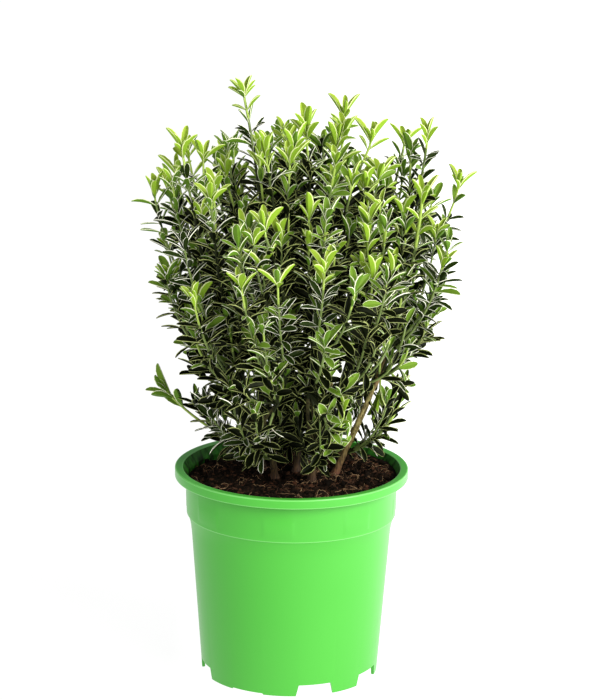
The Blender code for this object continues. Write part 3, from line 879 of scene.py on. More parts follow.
@dataclass
class Soil:
    """The peat in the pot: a lumpy top round the stems, crumbs, bark bits and fine pale roots."""

    pot: Pot
    gap: float = 0.0003
    edge_drop: float = 0.0060
    mound: float = -0.0010
    dip: float = 0.0060
    dip_turn: float = math.radians(138.0)
    dip_power: int = 3
    plateau: float = 0.0520
    rings: int = 56
    spokes: int = 168
    shoulder_drop: float = 0.0010
    lump_height: float = 0.0066
    lump_fade: float = 0.005
    edge_lumps: float = 0.15
    lumps: tuple[Lumps, ...] = (
        Lumps(scale=95.0, layer=1.7, smoothness=0.8, growth=2.1, octaves=4, share=0.45),
        Lumps(scale=420.0, layer=5.1, smoothness=0.9, growth=2.0, octaves=2, share=0.22),
    )
    crumb_sizes: Pair = (0.0010, 0.0058)
    crumb_margin: float = 0.0024
    crumb_spread: float = 2.6
    crumb_density: float = 150000.0
    crumb_flatness: tuple[float, ...] = (0.8, 0.6, 0.35)
    crumb_roughness: Pair = (0.68, 1.15)
    crumb_widths: Pair = (0.75, 0.95)
    crumb_tilt: float = 0.5
    steepest: float = 0.2
    fibres: int = 400
    fibre_spread: Pair = (0.02, 0.93)
    left_fibres: float = 0.35
    fibre_lengths: Pair = (0.006, 0.024)
    fibre_radius: float = 0.00014
    fibre_steps: int = 9
    fibre_arch: Pair = (0.0004, 0.0024)
    fibre_turn: float = 0.9
    fibre_margin: float = 0.002
    least_points: int = 4
    fibre_sides: int = 4
    fibre_seed: int = SEED + 900
    finish: SoilFinish = SoilFinish()
    crumb_finishes: tuple[PlainFinish, ...] = (
        PlainFinish("crumb_black", srgb(15, 11, 7), 0.9, 0.04),
        PlainFinish("crumb_brown", srgb(32, 22, 15), 0.9, 0.05),
        PlainFinish("crumb_bark", srgb(66, 42, 28), 0.8, 0.08),
    )
    fibre_finishes: tuple[PlainFinish, ...] = (
        PlainFinish("root_pale", srgb(158, 128, 94), 0.8, 0.2),
        PlainFinish("root_brown", srgb(84, 56, 36), 0.85, 0.3),
    )

    def __post_init__(self) -> None:
        """Works out the soil's edge from the pot's wall."""
        self.edge = self.pot.height - self.edge_drop
        self.edge_radius = self.wall_radius(self.edge)

    def wall_radius(self, height: float) -> float:
        """The radius of the pot's inner wall at a height near the rim."""
        low, high = self.pot.inner_profile(self.gap)[-2:]
        if height > high[1]:
            low, high = high, (self.pot.lip_radius - self.pot.lip_width - self.gap, self.pot.height)
        return low[0] + (high[0] - low[0]) * (height - low[1]) / (high[1] - low[1])

    def edge_at(self, angle: float) -> float:
        """The height of the soil's edge at an angle: it dips at the back left."""
        return self.edge - self.dip * (0.5 + 0.5 * math.cos(angle - self.dip_turn)) ** self.dip_power

    def surface(self, x: float, y: float) -> float:
        """The height of the soil's top over a place.

        Args:
            x: The place, to the right.
            y: The place, to the back.

        Returns:
            The height.
        """
        radius = math.hypot(x, y)
        share = share_from(self.edge_radius - radius, 0.0, self.edge_radius - self.plateau)
        swell = share * share * (3.0 - 2.0 * share)
        fade = min(1.0, max(0.0, self.edge_radius - radius) / self.lump_fade + self.edge_lumps)
        relief = self.lump_height * sum(lumps.height(x, y) for lumps in self.lumps) * fade
        edge = self.edge_at(math.atan2(y, x))
        return edge + (self.edge + self.mound - edge) * swell + relief

    def build_body(self) -> Object:
        """The soil's body, which fills the pot up to its lumpy top."""
        bm = bmesh.new()
        turns = [math.tau * s / self.spokes for s in range(self.spokes)]
        profile = [(radius, height) for radius, height, _ in self.pot.inner_profile(self.gap)[1:-1]]
        rings = [[bm.verts.new((r * math.cos(a), r * math.sin(a), z)) for a in turns] for r, z in profile]
        lip_foot = self.pot.height - self.pot.lip_height
        shoulder = [min(lip_foot, self.edge_at(a) - self.shoulder_drop) for a in turns]
        wall = [self.wall_radius(height) for height in shoulder]
        places = [(r * math.cos(a), r * math.sin(a), z) for r, a, z in zip(wall, turns, shoulder)]
        rings.append([bm.verts.new(place) for place in places])
        for i in range(self.rings):
            reach = [self.wall_radius(self.edge_at(a)) * (1.0 - i / self.rings) for a in turns]
            places = [(radius * math.cos(a), radius * math.sin(a)) for radius, a in zip(reach, turns)]
            rings.append([bm.verts.new((x, y, self.surface(x, y))) for x, y in places])
        for low, high in zip(rings, rings[1:]):
            for s in range(self.spokes):
                after = (s + 1) % self.spokes
                bm.faces.new((low[s], low[after], high[after], high[s]))
        floor = bm.verts.new((0.0, 0.0, profile[0][1]))
        top = bm.verts.new((0.0, 0.0, self.surface(0.0, 0.0)))
        for s in range(self.spokes):
            after = (s + 1) % self.spokes
            bm.faces.new((rings[0][after], rings[0][s], floor))
            bm.faces.new((rings[-1][s], rings[-1][after], top))
        body = mesh_from("soil_body", bm)
        body.data.materials.append(self.finish.material())
        body.data.shade_smooth()
        return body

    def is_by_wall(self, place: Vector) -> bool:
        """Whether a crumb at a place could touch the pot's wall."""
        reach = self.wall_radius(self.edge_at(math.atan2(place.y, place.x)))
        return place.to_2d().length > reach - self.crumb_margin

    def crumb_mesh(self, name: str, seed: int, flatness: float) -> Object:
        """A rough crumb a unit across, as a hidden object that the scatter copies.

        Args:
            name: Its name.
            seed: What its lumps are drawn from.
            flatness: Its height against its width.

        Returns:
            The crumb.
        """
        rng = Random(seed)
        bm = bmesh.new()
        bmesh.ops.create_icosphere(bm, subdivisions=1, radius=0.5)
        for vert in bm.verts:
            vert.co *= rng.uniform(*self.crumb_roughness)
            vert.co.z *= flatness
            vert.co.y *= rng.uniform(*self.crumb_widths)
        crumb = mesh_from(name, bm)
        crumb.hide_render = True
        return crumb

    def crumb_ground(self, body: Object) -> Object:
        """The part of the soil's top that crumbs may lie on.

        Args:
            body: The soil's body.

        Returns:
            A copy of its top, clear of the pot's wall.
        """
        bm = bmesh.new()
        bm.from_mesh(body.data)
        rest = [f for f in bm.faces if f.normal.z < self.steepest or self.is_by_wall(f.calc_center_median())]
        bmesh.ops.delete(bm, geom=rest, context="FACES")
        return mesh_from("soil_ground", bm)

    def crumb_tree(self, shapes: list[Object]) -> NodeTree:
        """The node tree that scatters crumbs and bark bits.

        Args:
            shapes: The crumbs that it copies.

        Returns:
            The tree.
        """
        inputs = {"Density": "Float", "Smallest": "Float", "Largest": "Float", "Seed": "Int"}
        tree = NodeTree("soil crumbs", inputs)
        points = tree.add("GeometryNodeDistributePointsOnFaces", Mesh=tree.inputs["Geometry"],
                          Density=tree.inputs["Density"], Seed=tree.inputs["Seed"])
        kind = tree.add("FunctionNodeRandomValue", {"data_type": "INT"}, Min=0, Max=len(shapes) - 1, Seed=3)
        points = tree.add("GeometryNodeStoreNamedAttribute", {"data_type": "INT"}, Geometry=points,
                          Name="finish", Value=kind)
        tilt = self.crumb_tilt
        turn = tree.add("FunctionNodeRandomValue", {"data_type": "FLOAT_VECTOR"}, Min=(-tilt, -tilt, 0.0),
                        Max=(tilt, tilt, math.tau), Seed=5)
        spread = tree.add("FunctionNodeRandomValue", {"data_type": "FLOAT"}, Min=0.0, Max=1.0, Seed=7)
        spread = tree.maths("ShaderNodeMath", "POWER", spread, self.crumb_spread)
        size = tree.add("ShaderNodeMapRange", Value=spread, To_Min=tree.inputs["Smallest"],
                        To_Max=tree.inputs["Largest"])
        rotation = tree.add("FunctionNodeEulerToRotation", Euler=turn)
        crumbs = tree.add("GeometryNodeInstanceOnPoints", Points=points, Instance=tree.shelf(shapes),
                          Pick_Instance=True, Instance_Index=kind, Rotation=rotation, Scale=size)
        crumbs = tree.add("GeometryNodeRealizeInstances", Geometry=crumbs)
        tree.end(tree.dress(crumbs, "finish", [finish.material() for finish in self.crumb_finishes]))
        return tree

    def build_crumbs(self, body: Object) -> Object:
        """Scatters crumbs and bark bits over the soil's top.

        Args:
            body: The soil's body.

        Returns:
            The crumbs, as one piece.
        """
        ground = self.crumb_ground(body)
        flatness = enumerate(self.crumb_flatness)
        shapes = [self.crumb_mesh(f"crumb_{i}", SEED + i, flat) for i, flat in flatness]
        small, large = self.crumb_sizes
        values = {"Density": self.crumb_density, "Smallest": small, "Largest": large, "Seed": SEED}
        piece = self.crumb_tree(shapes).apply(ground, "soil_crumbs", **values)
        for shape in shapes:
            bpy.data.objects.remove(shape, do_unlink=True)
        return piece

    def fibre(self, rng: Random) -> Path:
        """One fine root that curls over the soil.

        Args:
            rng: The roots' random numbers.

        Returns:
            Its path, with no points where none lies.
        """
        angle = rng.uniform(0.0, math.tau)
        reach = self.edge_radius * math.sqrt(rng.uniform(*self.fibre_spread))
        x, y = reach * math.cos(angle), reach * math.sin(angle)
        if rng.random() > (1.0 if x > 0.0 else self.left_fibres):
            return []
        heading, length = rng.uniform(0.0, math.tau), rng.uniform(*self.fibre_lengths)
        path = []
        for step in range(self.fibre_steps + 1):
            arch = math.sin(math.pi * step / self.fibre_steps) * rng.uniform(*self.fibre_arch)
            if math.hypot(x, y) > self.edge_radius - self.fibre_margin:
                break
            path.append(Vector((x, y, self.surface(x, y) + self.fibre_radius + arch)))
            heading += rng.uniform(-self.fibre_turn, self.fibre_turn)
            x += math.cos(heading) * length / self.fibre_steps
            y += math.sin(heading) * length / self.fibre_steps
        return path

    def build_fibres(self) -> Object:
        """The fine pale roots that curl over the soil."""
        rng = Random(self.fibre_seed)
        strands = []
        for _ in range(self.fibres):
            path = self.fibre(rng)
            if len(path) >= self.least_points:
                kind = rng.randrange(len(self.fibre_finishes))
                strands.append(Strand(path, [self.fibre_radius] * len(path), kind))
        materials = [finish.material() for finish in self.fibre_finishes]
        return StrandBuilder(self.fibre_sides, materials).build("soil_roots", strands)

    def build(self) -> None:
        """Builds and hands over the soil, its crumbs and its roots."""
        body = self.build_body()
        hand_over(body, "soil", "soil")
        hand_over(self.build_crumbs(body), "soil")
        hand_over(self.build_fibres(), "soil")


# Strands


@dataclass
class Strand:
    """A path with a radius at each point and the number of its finish."""

    path: Path
    radii: list[float]
    finish: int | list[int] = 0


@dataclass
class StrandBuilder:
    """Makes tubes along strands with a node tree."""

    sides: int
    materials: list[Material]
    relief: float = 0.0
    relief_scale: float = 700.0
    relief_stretch: Triple = (1.0, 1.0, 0.16)
    relief_detail: float = 3.0
    step: float = 0.0

    def guide(self, strands: list[Strand]) -> Object:
        """The strands as a mesh of edges that holds each point's radius and finish."""
        points, edges, radii, finishes = [], [], [], []
        for strand in strands:
            first = len(points)
            points += strand.path
            radii += strand.radii
            one = isinstance(strand.finish, int)
            finishes += [strand.finish] * len(strand.path) if one else strand.finish
            edges += [(first + i, first + i + 1) for i in range(len(strand.path) - 1)]
        mesh = bpy.data.meshes.new("strand_guide")
        mesh.from_pydata(points, edges, [])
        add_attribute(mesh, "thick", "FLOAT", "POINT", radii)
        add_attribute(mesh, "finish", "INT", "POINT", finishes)
        return link_mesh("strand_guide", mesh)

    def tree(self) -> NodeTree:
        """The node tree that turns guides into tubes."""
        inputs = {"Sides": "Int", "Relief": "Float", "Relief Scale": "Float", "Step": "Float"}
        tree = NodeTree("tubes on strands", inputs)
        curve = tree.add("GeometryNodeMeshToCurve", Mesh=tree.inputs["Geometry"])
        if self.step:
            curve = tree.add("GeometryNodeResampleCurve", {"mode": "LENGTH"}, Curve=curve,
                             Length=tree.inputs["Step"])
        ring = tree.add("GeometryNodeCurvePrimitiveCircle", Resolution=tree.inputs["Sides"], Radius=1.0)
        thick = tree.attribute("thick", "FLOAT")
        tube = tree.add("GeometryNodeCurveToMesh", Curve=curve, Profile_Curve=ring, Scale=thick,
                        Fill_Caps=True)
        if self.relief:
            place = tree.add("GeometryNodeInputPosition")
            place = tree.maths("ShaderNodeVectorMath", "MULTIPLY", place, self.relief_stretch)
            rough = tree.add("ShaderNodeTexNoise", Vector=place, Scale=tree.inputs["Relief Scale"],
                             Detail=self.relief_detail)
            level = tree.maths("ShaderNodeMath", "SUBTRACT", rough, 0.5)
            depth = tree.maths("ShaderNodeMath", "MULTIPLY", level, tree.inputs["Relief"])
            outwards = tree.add("GeometryNodeInputNormal")
            push = tree.maths("ShaderNodeVectorMath", "SCALE", outwards, depth)
            tube = tree.add("GeometryNodeSetPosition", Geometry=tube, Offset=push)
        tube = tree.add("GeometryNodeSetShadeSmooth", Geometry=tube)
        tube = tree.add("GeometryNodeRealizeInstances", Geometry=tube)
        tree.end(tree.dress(tube, "finish", self.materials))
        return tree

    def build(self, name: str, strands: list[Strand]) -> Object:
        """The strands' tubes as one piece of a name."""
        values = {"Sides": self.sides, "Relief": self.relief, "Relief_Scale": self.relief_scale}
        return self.tree().apply(self.guide(strands), name, Step=self.step, **values)


# The plant's layout, by the same rule as the solids


@dataclass
class Mass:
    """One mass of foliage: its stem's name, where it starts and where its leader ends."""

    name: str
    entry: Vector
    lead_in: Vector
    top: Vector
    skirt: bool
    inner: bool = False

    @property
    def group(self) -> str:
        """The name of the stem that carries the mass."""
        return self.name.split("_")[1]


@dataclass
class Crown:
    """The crown's outline, as radius against height above the ground, and its domed top."""

    ground: float
    centre: Pair = (0.009, 0.006)
    middle: Vector = field(init=False)
    outline: tuple[Pair, ...] = (
        (0.018, 0.060),
        (0.060, 0.084),
        (0.100, 0.098),
        (0.150, 0.114),
        (0.205, 0.122),
        (0.262, 0.117),
    )
    radius: float = 0.118
    top: float = 0.276
    dome_drop: float = 0.036
    front_slope: float = 0.36

    def __post_init__(self) -> None:
        """Places the crown's middle over the ground."""
        self.middle = Vector((*self.centre, self.ground))

    def flank_radius(self, height: float) -> float:
        """The crown's radius at a height above the ground."""
        points = self.outline
        if height <= points[0][0]:
            return points[0][1]
        for (low, low_radius), (high, high_radius) in zip(points, points[1:]):
            if height <= high:
                return low_radius + (high_radius - low_radius) * (height - low) / (high - low)
        return points[-1][1]

    def height_share(self, point: Vector) -> float:
        """A point's height above the ground, against the crown's."""
        return (point.z - self.ground) / self.top

    def dome_height(self, point: Vector) -> float:
        """The height of the crown's top over a point, above the ground."""
        radius = (point - self.middle).to_2d().length
        forward = max(0.0, self.middle.y - point.y)
        return self.top - self.dome_drop * (radius / self.radius) ** 2 - self.front_slope * forward

    def depth(self, point: Vector) -> float:
        """How far inside the crown a point lies."""
        below = self.ground + self.dome_height(point) - point.z
        radius = (point - self.middle).to_2d().length
        return min(below, self.flank_radius(point.z - self.ground) - radius)


@dataclass
class Clump:
    """The stems on the soil, their boughs, and where each bough's foliage starts and ends."""

    crown: Crown
    centre: Pair = (0.004, 0.006)
    fit_gap: float = 0.0003
    turn: float = math.radians(-5.0)
    ring_stems: int = 6
    ring_radius: float = 0.030
    fork_radius: float = 0.041
    stem_height: float = 0.040
    middle_height: float = 0.050
    stem_thick: Pair = (0.0029, 0.0023)
    flare: float = 1.45
    flare_height: float = 0.006
    bough_thick: Pair = (0.0019, 0.0014)
    outer_spread: float = math.radians(15.0)
    jitter: float = 0.004
    turn_jitter: float = 0.10
    stem_bow: float = 0.003
    middle_bend: Triple = (0.003, -0.002, 0.030)
    bough_jitter: float = 0.006
    bough_lead: float = 0.45
    right_start: float = 0.70
    inner_start: float = 0.84
    skirt_start: float = 0.42
    bough_swing: float = 0.25
    bough_tuck: float = 0.010
    middle_entry: Pair = (0.003, 0.090)
    inner_entry: Pair = (0.026, 0.080)
    outer_entry: Pair = (0.050, 0.072)
    leaning_stem: int = 0
    leaning_fork_radius: float = 0.050
    leaning_entry: Pair = (0.067, 0.081)
    inner_radius: float = 0.050
    outer_radius: float = 0.099
    leader_turn_jitter: float = 0.07
    leader_rise: tuple[float, ...] = (
        *(0.000, 0.015, -0.006, 0.004, 0.022, 0.007, 0.000),
        *(-0.004, -0.002, -0.006, 0.019, 0.002, 0.038, 0.000),
        *(0.006, 0.010, -0.006, 0.010, 0.006),
    )
    skirt_lead_in: float = 0.25
    skirt_tip: Pair = (0.086, 0.070)
    low_arm_stem: int = 3
    low_arm_reach: float = 0.026
    limb_steps: int = 4
    stems: dict[str, Path] = field(default_factory=dict)
    boughs: dict[str, Path] = field(default_factory=dict)
    masses: list[Mass] = field(default_factory=list)

    def __post_init__(self) -> None:
        """Lays out the stems, boughs and masses."""
        self.place = Vector((*self.centre, self.crown.ground))
        self.rng = Random(SEED)
        self.add_middle()
        for i in range(self.ring_stems):
            self.add_ring_stem(i)

    def stem_path(self, angle: float, fork_radius: float) -> Path:
        """A ring stem, from its foot on the soil to its fork.

        Args:
            angle: Where it stands, round the clump.
            fork_radius: How far out its fork is.

        Returns:
            The stem's path.
        """
        rng = self.rng
        angle += rng.uniform(-self.turn_jitter, self.turn_jitter)
        foot_radius = self.ring_radius + rng.uniform(-self.jitter, self.jitter)
        foot = around(self.place, angle, foot_radius, self.fit_gap)
        fork_height = self.stem_height + rng.uniform(-self.jitter, self.jitter)
        fork = around(self.place, angle, fork_radius, fork_height)
        bend = foot.lerp(fork, 0.5) + side_of(UP, rng.uniform(0.0, math.tau)) * self.stem_bow
        return bow(foot, bend, fork, self.limb_steps)

    def leader_top(self, angle: float, radius: float, index: int) -> Vector:
        """Where a mass's leader ends: on the crown's dome, or standing out of it.

        Args:
            angle: The mass's angle round the crown.
            radius: How far out it ends.
            index: The mass's number.

        Returns:
            The leader's tip.
        """
        angle += self.rng.uniform(-self.leader_turn_jitter, self.leader_turn_jitter)
        place = around(self.crown.middle, angle, radius)
        return place + UP * (self.crown.dome_height(place) + self.leader_rise[index])

    def add_bough(self, name: str, start: Vector, lead: Vector, entry: Pair, angle: float,
                  site_radius: float) -> None:
        """Adds a bough and the mass that it carries.

        Args:
            name: What the bough and its mass are called.
            start: Where the bough starts.
            lead: Its direction there.
            entry: The radius and height where its mass starts.
            angle: Its angle round the clump.
            site_radius: How far out its mass ends.
        """
        radius, height = entry
        height += self.rng.uniform(-self.bough_jitter, self.bough_jitter)
        entry = around(self.place, angle, radius, height)
        reach = (entry - start).length
        path = bow(start, start + lead * reach * self.bough_lead, entry, self.limb_steps)
        top = self.leader_top(angle, site_radius, len(self.boughs))
        self.boughs["bough_" + name] = path
        lead_in = (path[-1] - path[-2]).normalized()
        inner = site_radius < self.outer_radius
        self.masses.append(Mass("foliage_" + name, entry, lead_in, top, False, inner))

    def side_lead(self, stem: Path, share: float, heading: Triple) -> tuple[Vector, Vector]:
        """Where a bough leaves a stem's side, and its direction there, to a place round the clump."""
        start, _ = along(stem, share)
        return start, (around(self.place, *heading) - start).normalized()

    def add_middle(self) -> None:
        """Adds the stem in the clump's middle."""
        foot, fork = self.place + UP * self.fit_gap, self.place + UP * self.middle_height
        path = bow(foot, self.place + Vector(self.middle_bend), fork, self.limb_steps)
        self.stems["stem_middle"] = path
        lead = (path[-1] - path[-2]).normalized()
        self.add_bough("middle", path[-1] + lead * self.fit_gap, lead, self.middle_entry, 0.0, 0.0)

    def add_ring_stem(self, i: int) -> None:
        """Adds a ring stem with its left, right and inner boughs and its skirt of low foliage."""
        angle = self.turn + math.tau * i / self.ring_stems
        name = str(i + 1)
        leaning = i == self.leaning_stem
        entry = self.leaning_entry if leaning else self.outer_entry
        stem = self.stem_path(angle, self.leaning_fork_radius if leaning else self.fork_radius)
        self.stems["stem_" + name] = stem
        lead = (stem[-1] - stem[-2]).normalized()
        left, right = angle + self.outer_spread, angle - self.outer_spread
        start = stem[-1] + lead * self.fit_gap
        self.add_bough(name + "_left", start, lead, entry, left, self.outer_radius)
        aside = (right - self.bough_swing, *entry)
        side = self.side_lead(stem, self.right_start, aside)
        self.add_bough(name + "_right", *side, entry, right, self.outer_radius)
        within = (angle, self.inner_entry[0] - self.bough_tuck, self.inner_entry[1])
        side = self.side_lead(stem, self.inner_start, within)
        self.add_bough(name + "_inner", *side, self.inner_entry, angle, self.inner_radius)
        self.add_skirt(name, stem, angle, self.low_arm_reach if i == self.low_arm_stem else 0.0)

    def add_skirt(self, name: str, stem: Path, angle: float, extra_reach: float) -> None:
        """Adds the low foliage of a ring stem.

        Args:
            name: The stem's number.
            stem: Its path.
            angle: Its angle round the clump.
            extra_reach: How much further out it ends than most.
        """
        start, _ = along(stem, self.skirt_start)
        lead_in = (around(Vector(), angle, 1.0) + UP * self.skirt_lead_in).normalized()
        radius, height = self.skirt_tip
        top = around(self.place, angle, radius + extra_reach, height)
        self.masses.append(Mass(f"foliage_{name}_skirt", start, lead_in, top, True))

    def stem_strand(self, name: str) -> Strand:
        """A stem as a strand that flares out at its foot."""
        path = self.stems[name]
        radii = tapered(len(path), *self.stem_thick)
        flare_end = path[0].lerp(path[1], self.flare_height / (path[1] - path[0]).length)
        return Strand([path[0], flare_end, *path[1:]], [radii[0] * self.flare, *radii])

    def bough_strand(self, name: str) -> Strand:
        """A bough as a strand."""
        path = self.boughs[name]
        return Strand(path, tapered(len(path), *self.bough_thick))

    def group_boughs(self, group: str) -> list[str]:
        """The names of one stem's boughs."""
        return [name for name in self.boughs if name.split("_")[1] == group]

    def group_strands(self, group: str) -> list[Strand]:
        """The stem and boughs of one stem's group."""
        boughs = [self.bough_strand(name) for name in self.group_boughs(group)]
        return [self.stem_strand("stem_" + group), *boughs]

    def groups(self) -> list[str]:
        """The name of each stem's group."""
        return [name.split("_")[1] for name in self.stems]


class Clearance:
    """Tells which points stand clear of the limbs, the soil and the pot."""

    margin: float = 0.0015
    limb_margin: float = 0.0002

    def __init__(self, clump: Clump, pot: Pot, soil: Soil) -> None:
        """Gathers every limb's stretches.

        Args:
            clump: The stems and boughs.
            pot: The pot.
            soil: The soil.
        """
        starts, runs, thick = [], [], []
        for strand in (strand for group in clump.groups() for strand in clump.group_strands(group)):
            starts += strand.path[:-1]
            runs += [b - a for a, b in zip(strand.path, strand.path[1:])]
            thick += [max(radii) for radii in zip(strand.radii, strand.radii[1:])]
        self.starts, self.runs, self.thick = np.array(starts), np.array(runs), np.array(thick)
        self.soil_level = soil.edge + soil.mound + self.margin
        self.rim_radius = pot.collar_top - pot.wall - self.margin
        self.rim_top = pot.height + self.margin

    def clear(self, points: np.ndarray) -> np.ndarray:
        """Which points are clear.

        Args:
            points: One point in each row.

        Returns:
            True for each clear point.
        """
        away = points[:, None, :] - self.starts[None]
        share = np.clip((away * self.runs).sum(-1) / (self.runs ** 2).sum(-1), 0.0, 1.0)
        distance = np.linalg.norm(away - share[..., None] * self.runs, axis=-1)
        free = (distance > self.thick + self.limb_margin).all(axis=1)
        radius = np.hypot(points[:, 0], points[:, 1])
        over_rim = (points[:, 2] > self.rim_top) | (radius < self.rim_radius)
        return free & (points[:, 2] > self.soil_level) & over_rim


# Shoots and leaves


@dataclass
class Shoot:
    """A shoot: its path and radii, the lengths of its young tip and leafy part, and their tints."""

    path: Path
    thick: Pair
    flush: float
    leafy: float
    young_tint: Tint
    old_tint: Tint
    leaf_scale: float = 1.0
    shown: bool = False


@dataclass
class ShootRule:
    """The rule that grows a mass's shoots: a leader, and side shoots that swing out and rise."""

    crown: Crown
    clump: Clump
    source_shoots: int = 4
    outer_shoots: int = 18
    inner_shoots: int = 7
    skirt_shoots: tuple[int, ...] = (6, 12, 12, 10, 10, 8)
    arm_leafy: float = 0.020
    arm_flush: float = 0.060
    arm_leaf_scale: float = 1.45
    skirt_leaf_scale: float = 0.92
    skirt_thick: Pair = (0.0010, 0.0005)
    leader_reach: float = 0.006
    tall_rise: float = 0.030
    tall_reach: float = 0.0014
    side_reach: float = 0.003
    fine_drop: Pair = (0.030, 0.125)
    fine_turn: float = 1.9
    fine_skirt_reach: Pair = (-0.25, 0.80)
    fine_skirt_rise: Pair = (-0.020, 0.056)
    fine_reach: Pair = (0.62, 1.0)
    leafy_share: float = 0.86
    fine_leafy_share: float = 0.62
    leader_leafy_share: float = 0.90
    leader_steps: int = 14
    side_steps: int = 8
    leader_lead: float = 0.5
    leader_straight: float = 0.4
    lengths: Pair = (0.060, 0.095)
    skirt_lengths: Pair = (0.035, 0.055)
    starts: Pair = (0.04, 0.80)
    swing: float = 0.75
    lift: float = 0.35
    flank_goal: Pair = (0.085, 0.155)
    fine_low: float = 0.027
    fine_sink: float = 1.3
    fine_limit: float = 0.94
    flank_reach: Pair = (0.97, 1.04)
    flank_turn: float = 0.17
    low_tuck: float = 0.10
    right_tuck: float = 0.12
    skirt_goal: Pair = (0.026, 0.042)
    skirt_reach: Pair = (0.90, 1.02)
    skirt_turn: float = 0.42
    top_spread: Pair = (0.012, 0.012)
    top_drop: float = 0.045
    top_depth: float = 0.018
    leader_thick: Pair = (0.0015, 0.0010)
    side_thick: Pair = (0.0012, 0.0008)
    top_every: int = 5
    end_rises: Pair = (0.6, 0.3)
    top_band: Pair = (0.50, 0.35)
    middle_band: Pair = (0.25, 0.25)
    skirt_chance: float = 0.12
    flush_chances: Triple = (0.10, 0.50, 0.25)
    under_top_chance: float = 0.90
    flush_lengths: Pair = (0.014, 0.034)
    top_flush: float = 0.008
    leader_flush: float = 1.3
    lime_chances: Pair = (0.05, 0.90)
    lime_power: float = 1.6
    green_chances: Pair = (0.12, 0.75)

    def leader_path(self, mass: Mass) -> Path:
        """The main shoot of a mass, from its bough's tip to its top."""
        reach = (mass.top - mass.entry).length
        bend = mass.entry + mass.lead_in * reach * self.leader_lead
        if not mass.skirt:
            bend = bend.lerp(mass.entry.lerp(mass.top, 0.5), self.leader_straight)
        return bow(mass.entry, bend, mass.top, self.leader_steps)

    def goal(self, rng: Random, mass: Mass, k: int) -> Vector:
        """Where a side shoot ends: by turns on the crown's flank and on its domed top.

        Args:
            rng: The shoot's own random numbers.
            mass: The mass that it belongs to.
            k: The shoot's number in the mass.

        Returns:
            The tip's place.
        """
        middle = self.clump.place if mass.skirt else self.crown.middle
        out = mass.top - middle
        angle = math.atan2(out.y, out.x)
        turn = rng.uniform(-1.0, 1.0)
        share = rng.random()
        is_fine = k >= self.source_shoots
        if mass.skirt:
            low, span = self.skirt_goal
            height = low + span * share
            reach = self.crown.flank_radius(height) * rng.uniform(*self.skirt_reach)
            if is_fine:
                turn *= self.fine_turn
                reach *= rng.uniform(*self.fine_skirt_reach)
                height += rng.uniform(*self.fine_skirt_rise)
            return around(self.clump.place, angle + self.skirt_turn * turn, reach, height)
        to_flank = k % self.top_every != 0 if is_fine else k % 2 == 0
        if not mass.inner and to_flank:
            low, span = self.flank_goal
            if is_fine:
                low, span = low - self.fine_low, span + self.fine_low
            rise = (k + 2.0 * share) / self.source_shoots % 1.0
            height = low + span * (rise ** self.fine_sink if is_fine else rise)
            reach = self.crown.flank_radius(height) * rng.uniform(*self.flank_reach)
            if is_fine:
                reach *= rng.uniform(*self.fine_reach)
            tuck = self.low_tuck + self.right_tuck * max(0.0, math.cos(angle))
            reach *= 1.0 - tuck * max(0.0, 1.0 - (height - low) / (span * 0.5))
            return around(self.crown.middle, angle + self.flank_turn * turn, reach, height)
        least, more = self.top_spread
        place = around(mass.top, GOLDEN_ANGLE * k + 2.0 * turn, least + more * share)
        place.z = self.crown.ground + self.crown.dome_height(place) - self.top_drop * rng.random()
        if is_fine:
            place.z -= rng.uniform(*self.fine_drop)
            return self.drawn_in(place)
        return place

    def drawn_in(self, place: Vector) -> Vector:
        """A place past the crown's flank, drawn in to it."""
        away = place - self.crown.middle
        reach = min(away.to_2d().length, self.crown.flank_radius(away.z) * self.fine_limit)
        return around(self.crown.middle, math.atan2(away.y, away.x), reach, away.z)

    def carried_on(self, path: Path, reach: float) -> Path:
        """A shoot carried on past its end, rising.

        Args:
            path: The shoot's path.
            reach: How far it is carried on.

        Returns:
            The longer path.
        """
        rise, end_rise = self.end_rises
        heading = ((path[-1] - path[-2]).normalized() + UP * rise).normalized()
        middle = path[-1] + heading * reach * 0.5
        return [*path, middle, path[-1] + (heading + UP * end_rise).normalized() * reach]

    def whole_leader(self, leader: Path) -> Path:
        """A leader carried on past its end, and by less where it stands high out of the dome."""
        rise = leader[-1].z - self.crown.ground - self.crown.dome_height(leader[-1])
        return self.carried_on(leader, self.tall_reach if rise > self.tall_rise else self.leader_reach)

    def side_path(self, rng: Random, mass: Mass, leader: Path, k: int) -> Path:
        """A side shoot: it leaves the leader, swings out and rises to its goal.

        Args:
            rng: The shoot's own random numbers.
            mass: The mass that it belongs to.
            leader: The mass's leader.
            k: The shoot's number in the mass.

        Returns:
            The shoot's path.
        """
        goal = self.goal(rng, mass, k)
        length = rng.uniform(*(self.skirt_lengths if mass.skirt else self.lengths))
        low, high = leader[0].z, leader[-1].z
        lowest, highest = self.starts
        share = max(lowest, min(highest, (goal.z - length - low) / (high - low)))
        start, _ = along(leader, share)
        bend = start.lerp(goal, self.swing)
        bend.z = start.z + (goal.z - start.z) * self.lift
        return bow(start, bend, goal, self.side_steps)

    def flush(self, rng: Random, tip: Vector, skirt: bool) -> float:
        """The length of a shoot's young tip: longest at the crown's top, and rare low down.

        Args:
            rng: The mass's random numbers.
            tip: The shoot's tip.
            skirt: Whether it is in a skirt.

        Returns:
            The length, or 0 where it has none.
        """
        height = self.crown.height_share(tip)
        out = (tip - self.crown.middle).to_2d().length / self.crown.radius
        top, middle = share_from(height, *self.top_band), share_from(height, *self.middle_band)
        depth = self.crown.ground + self.crown.dome_height(tip) - tip.z
        least, inside, outside = self.flush_chances
        chance = self.skirt_chance if skirt else least + inside * middle + outside * out
        if depth < self.top_depth and not skirt:
            chance = 1.0 if depth < self.top_depth / 2 else self.under_top_chance
        if rng.random() > chance:
            return 0.0
        return rng.uniform(*self.flush_lengths) + self.top_flush * top

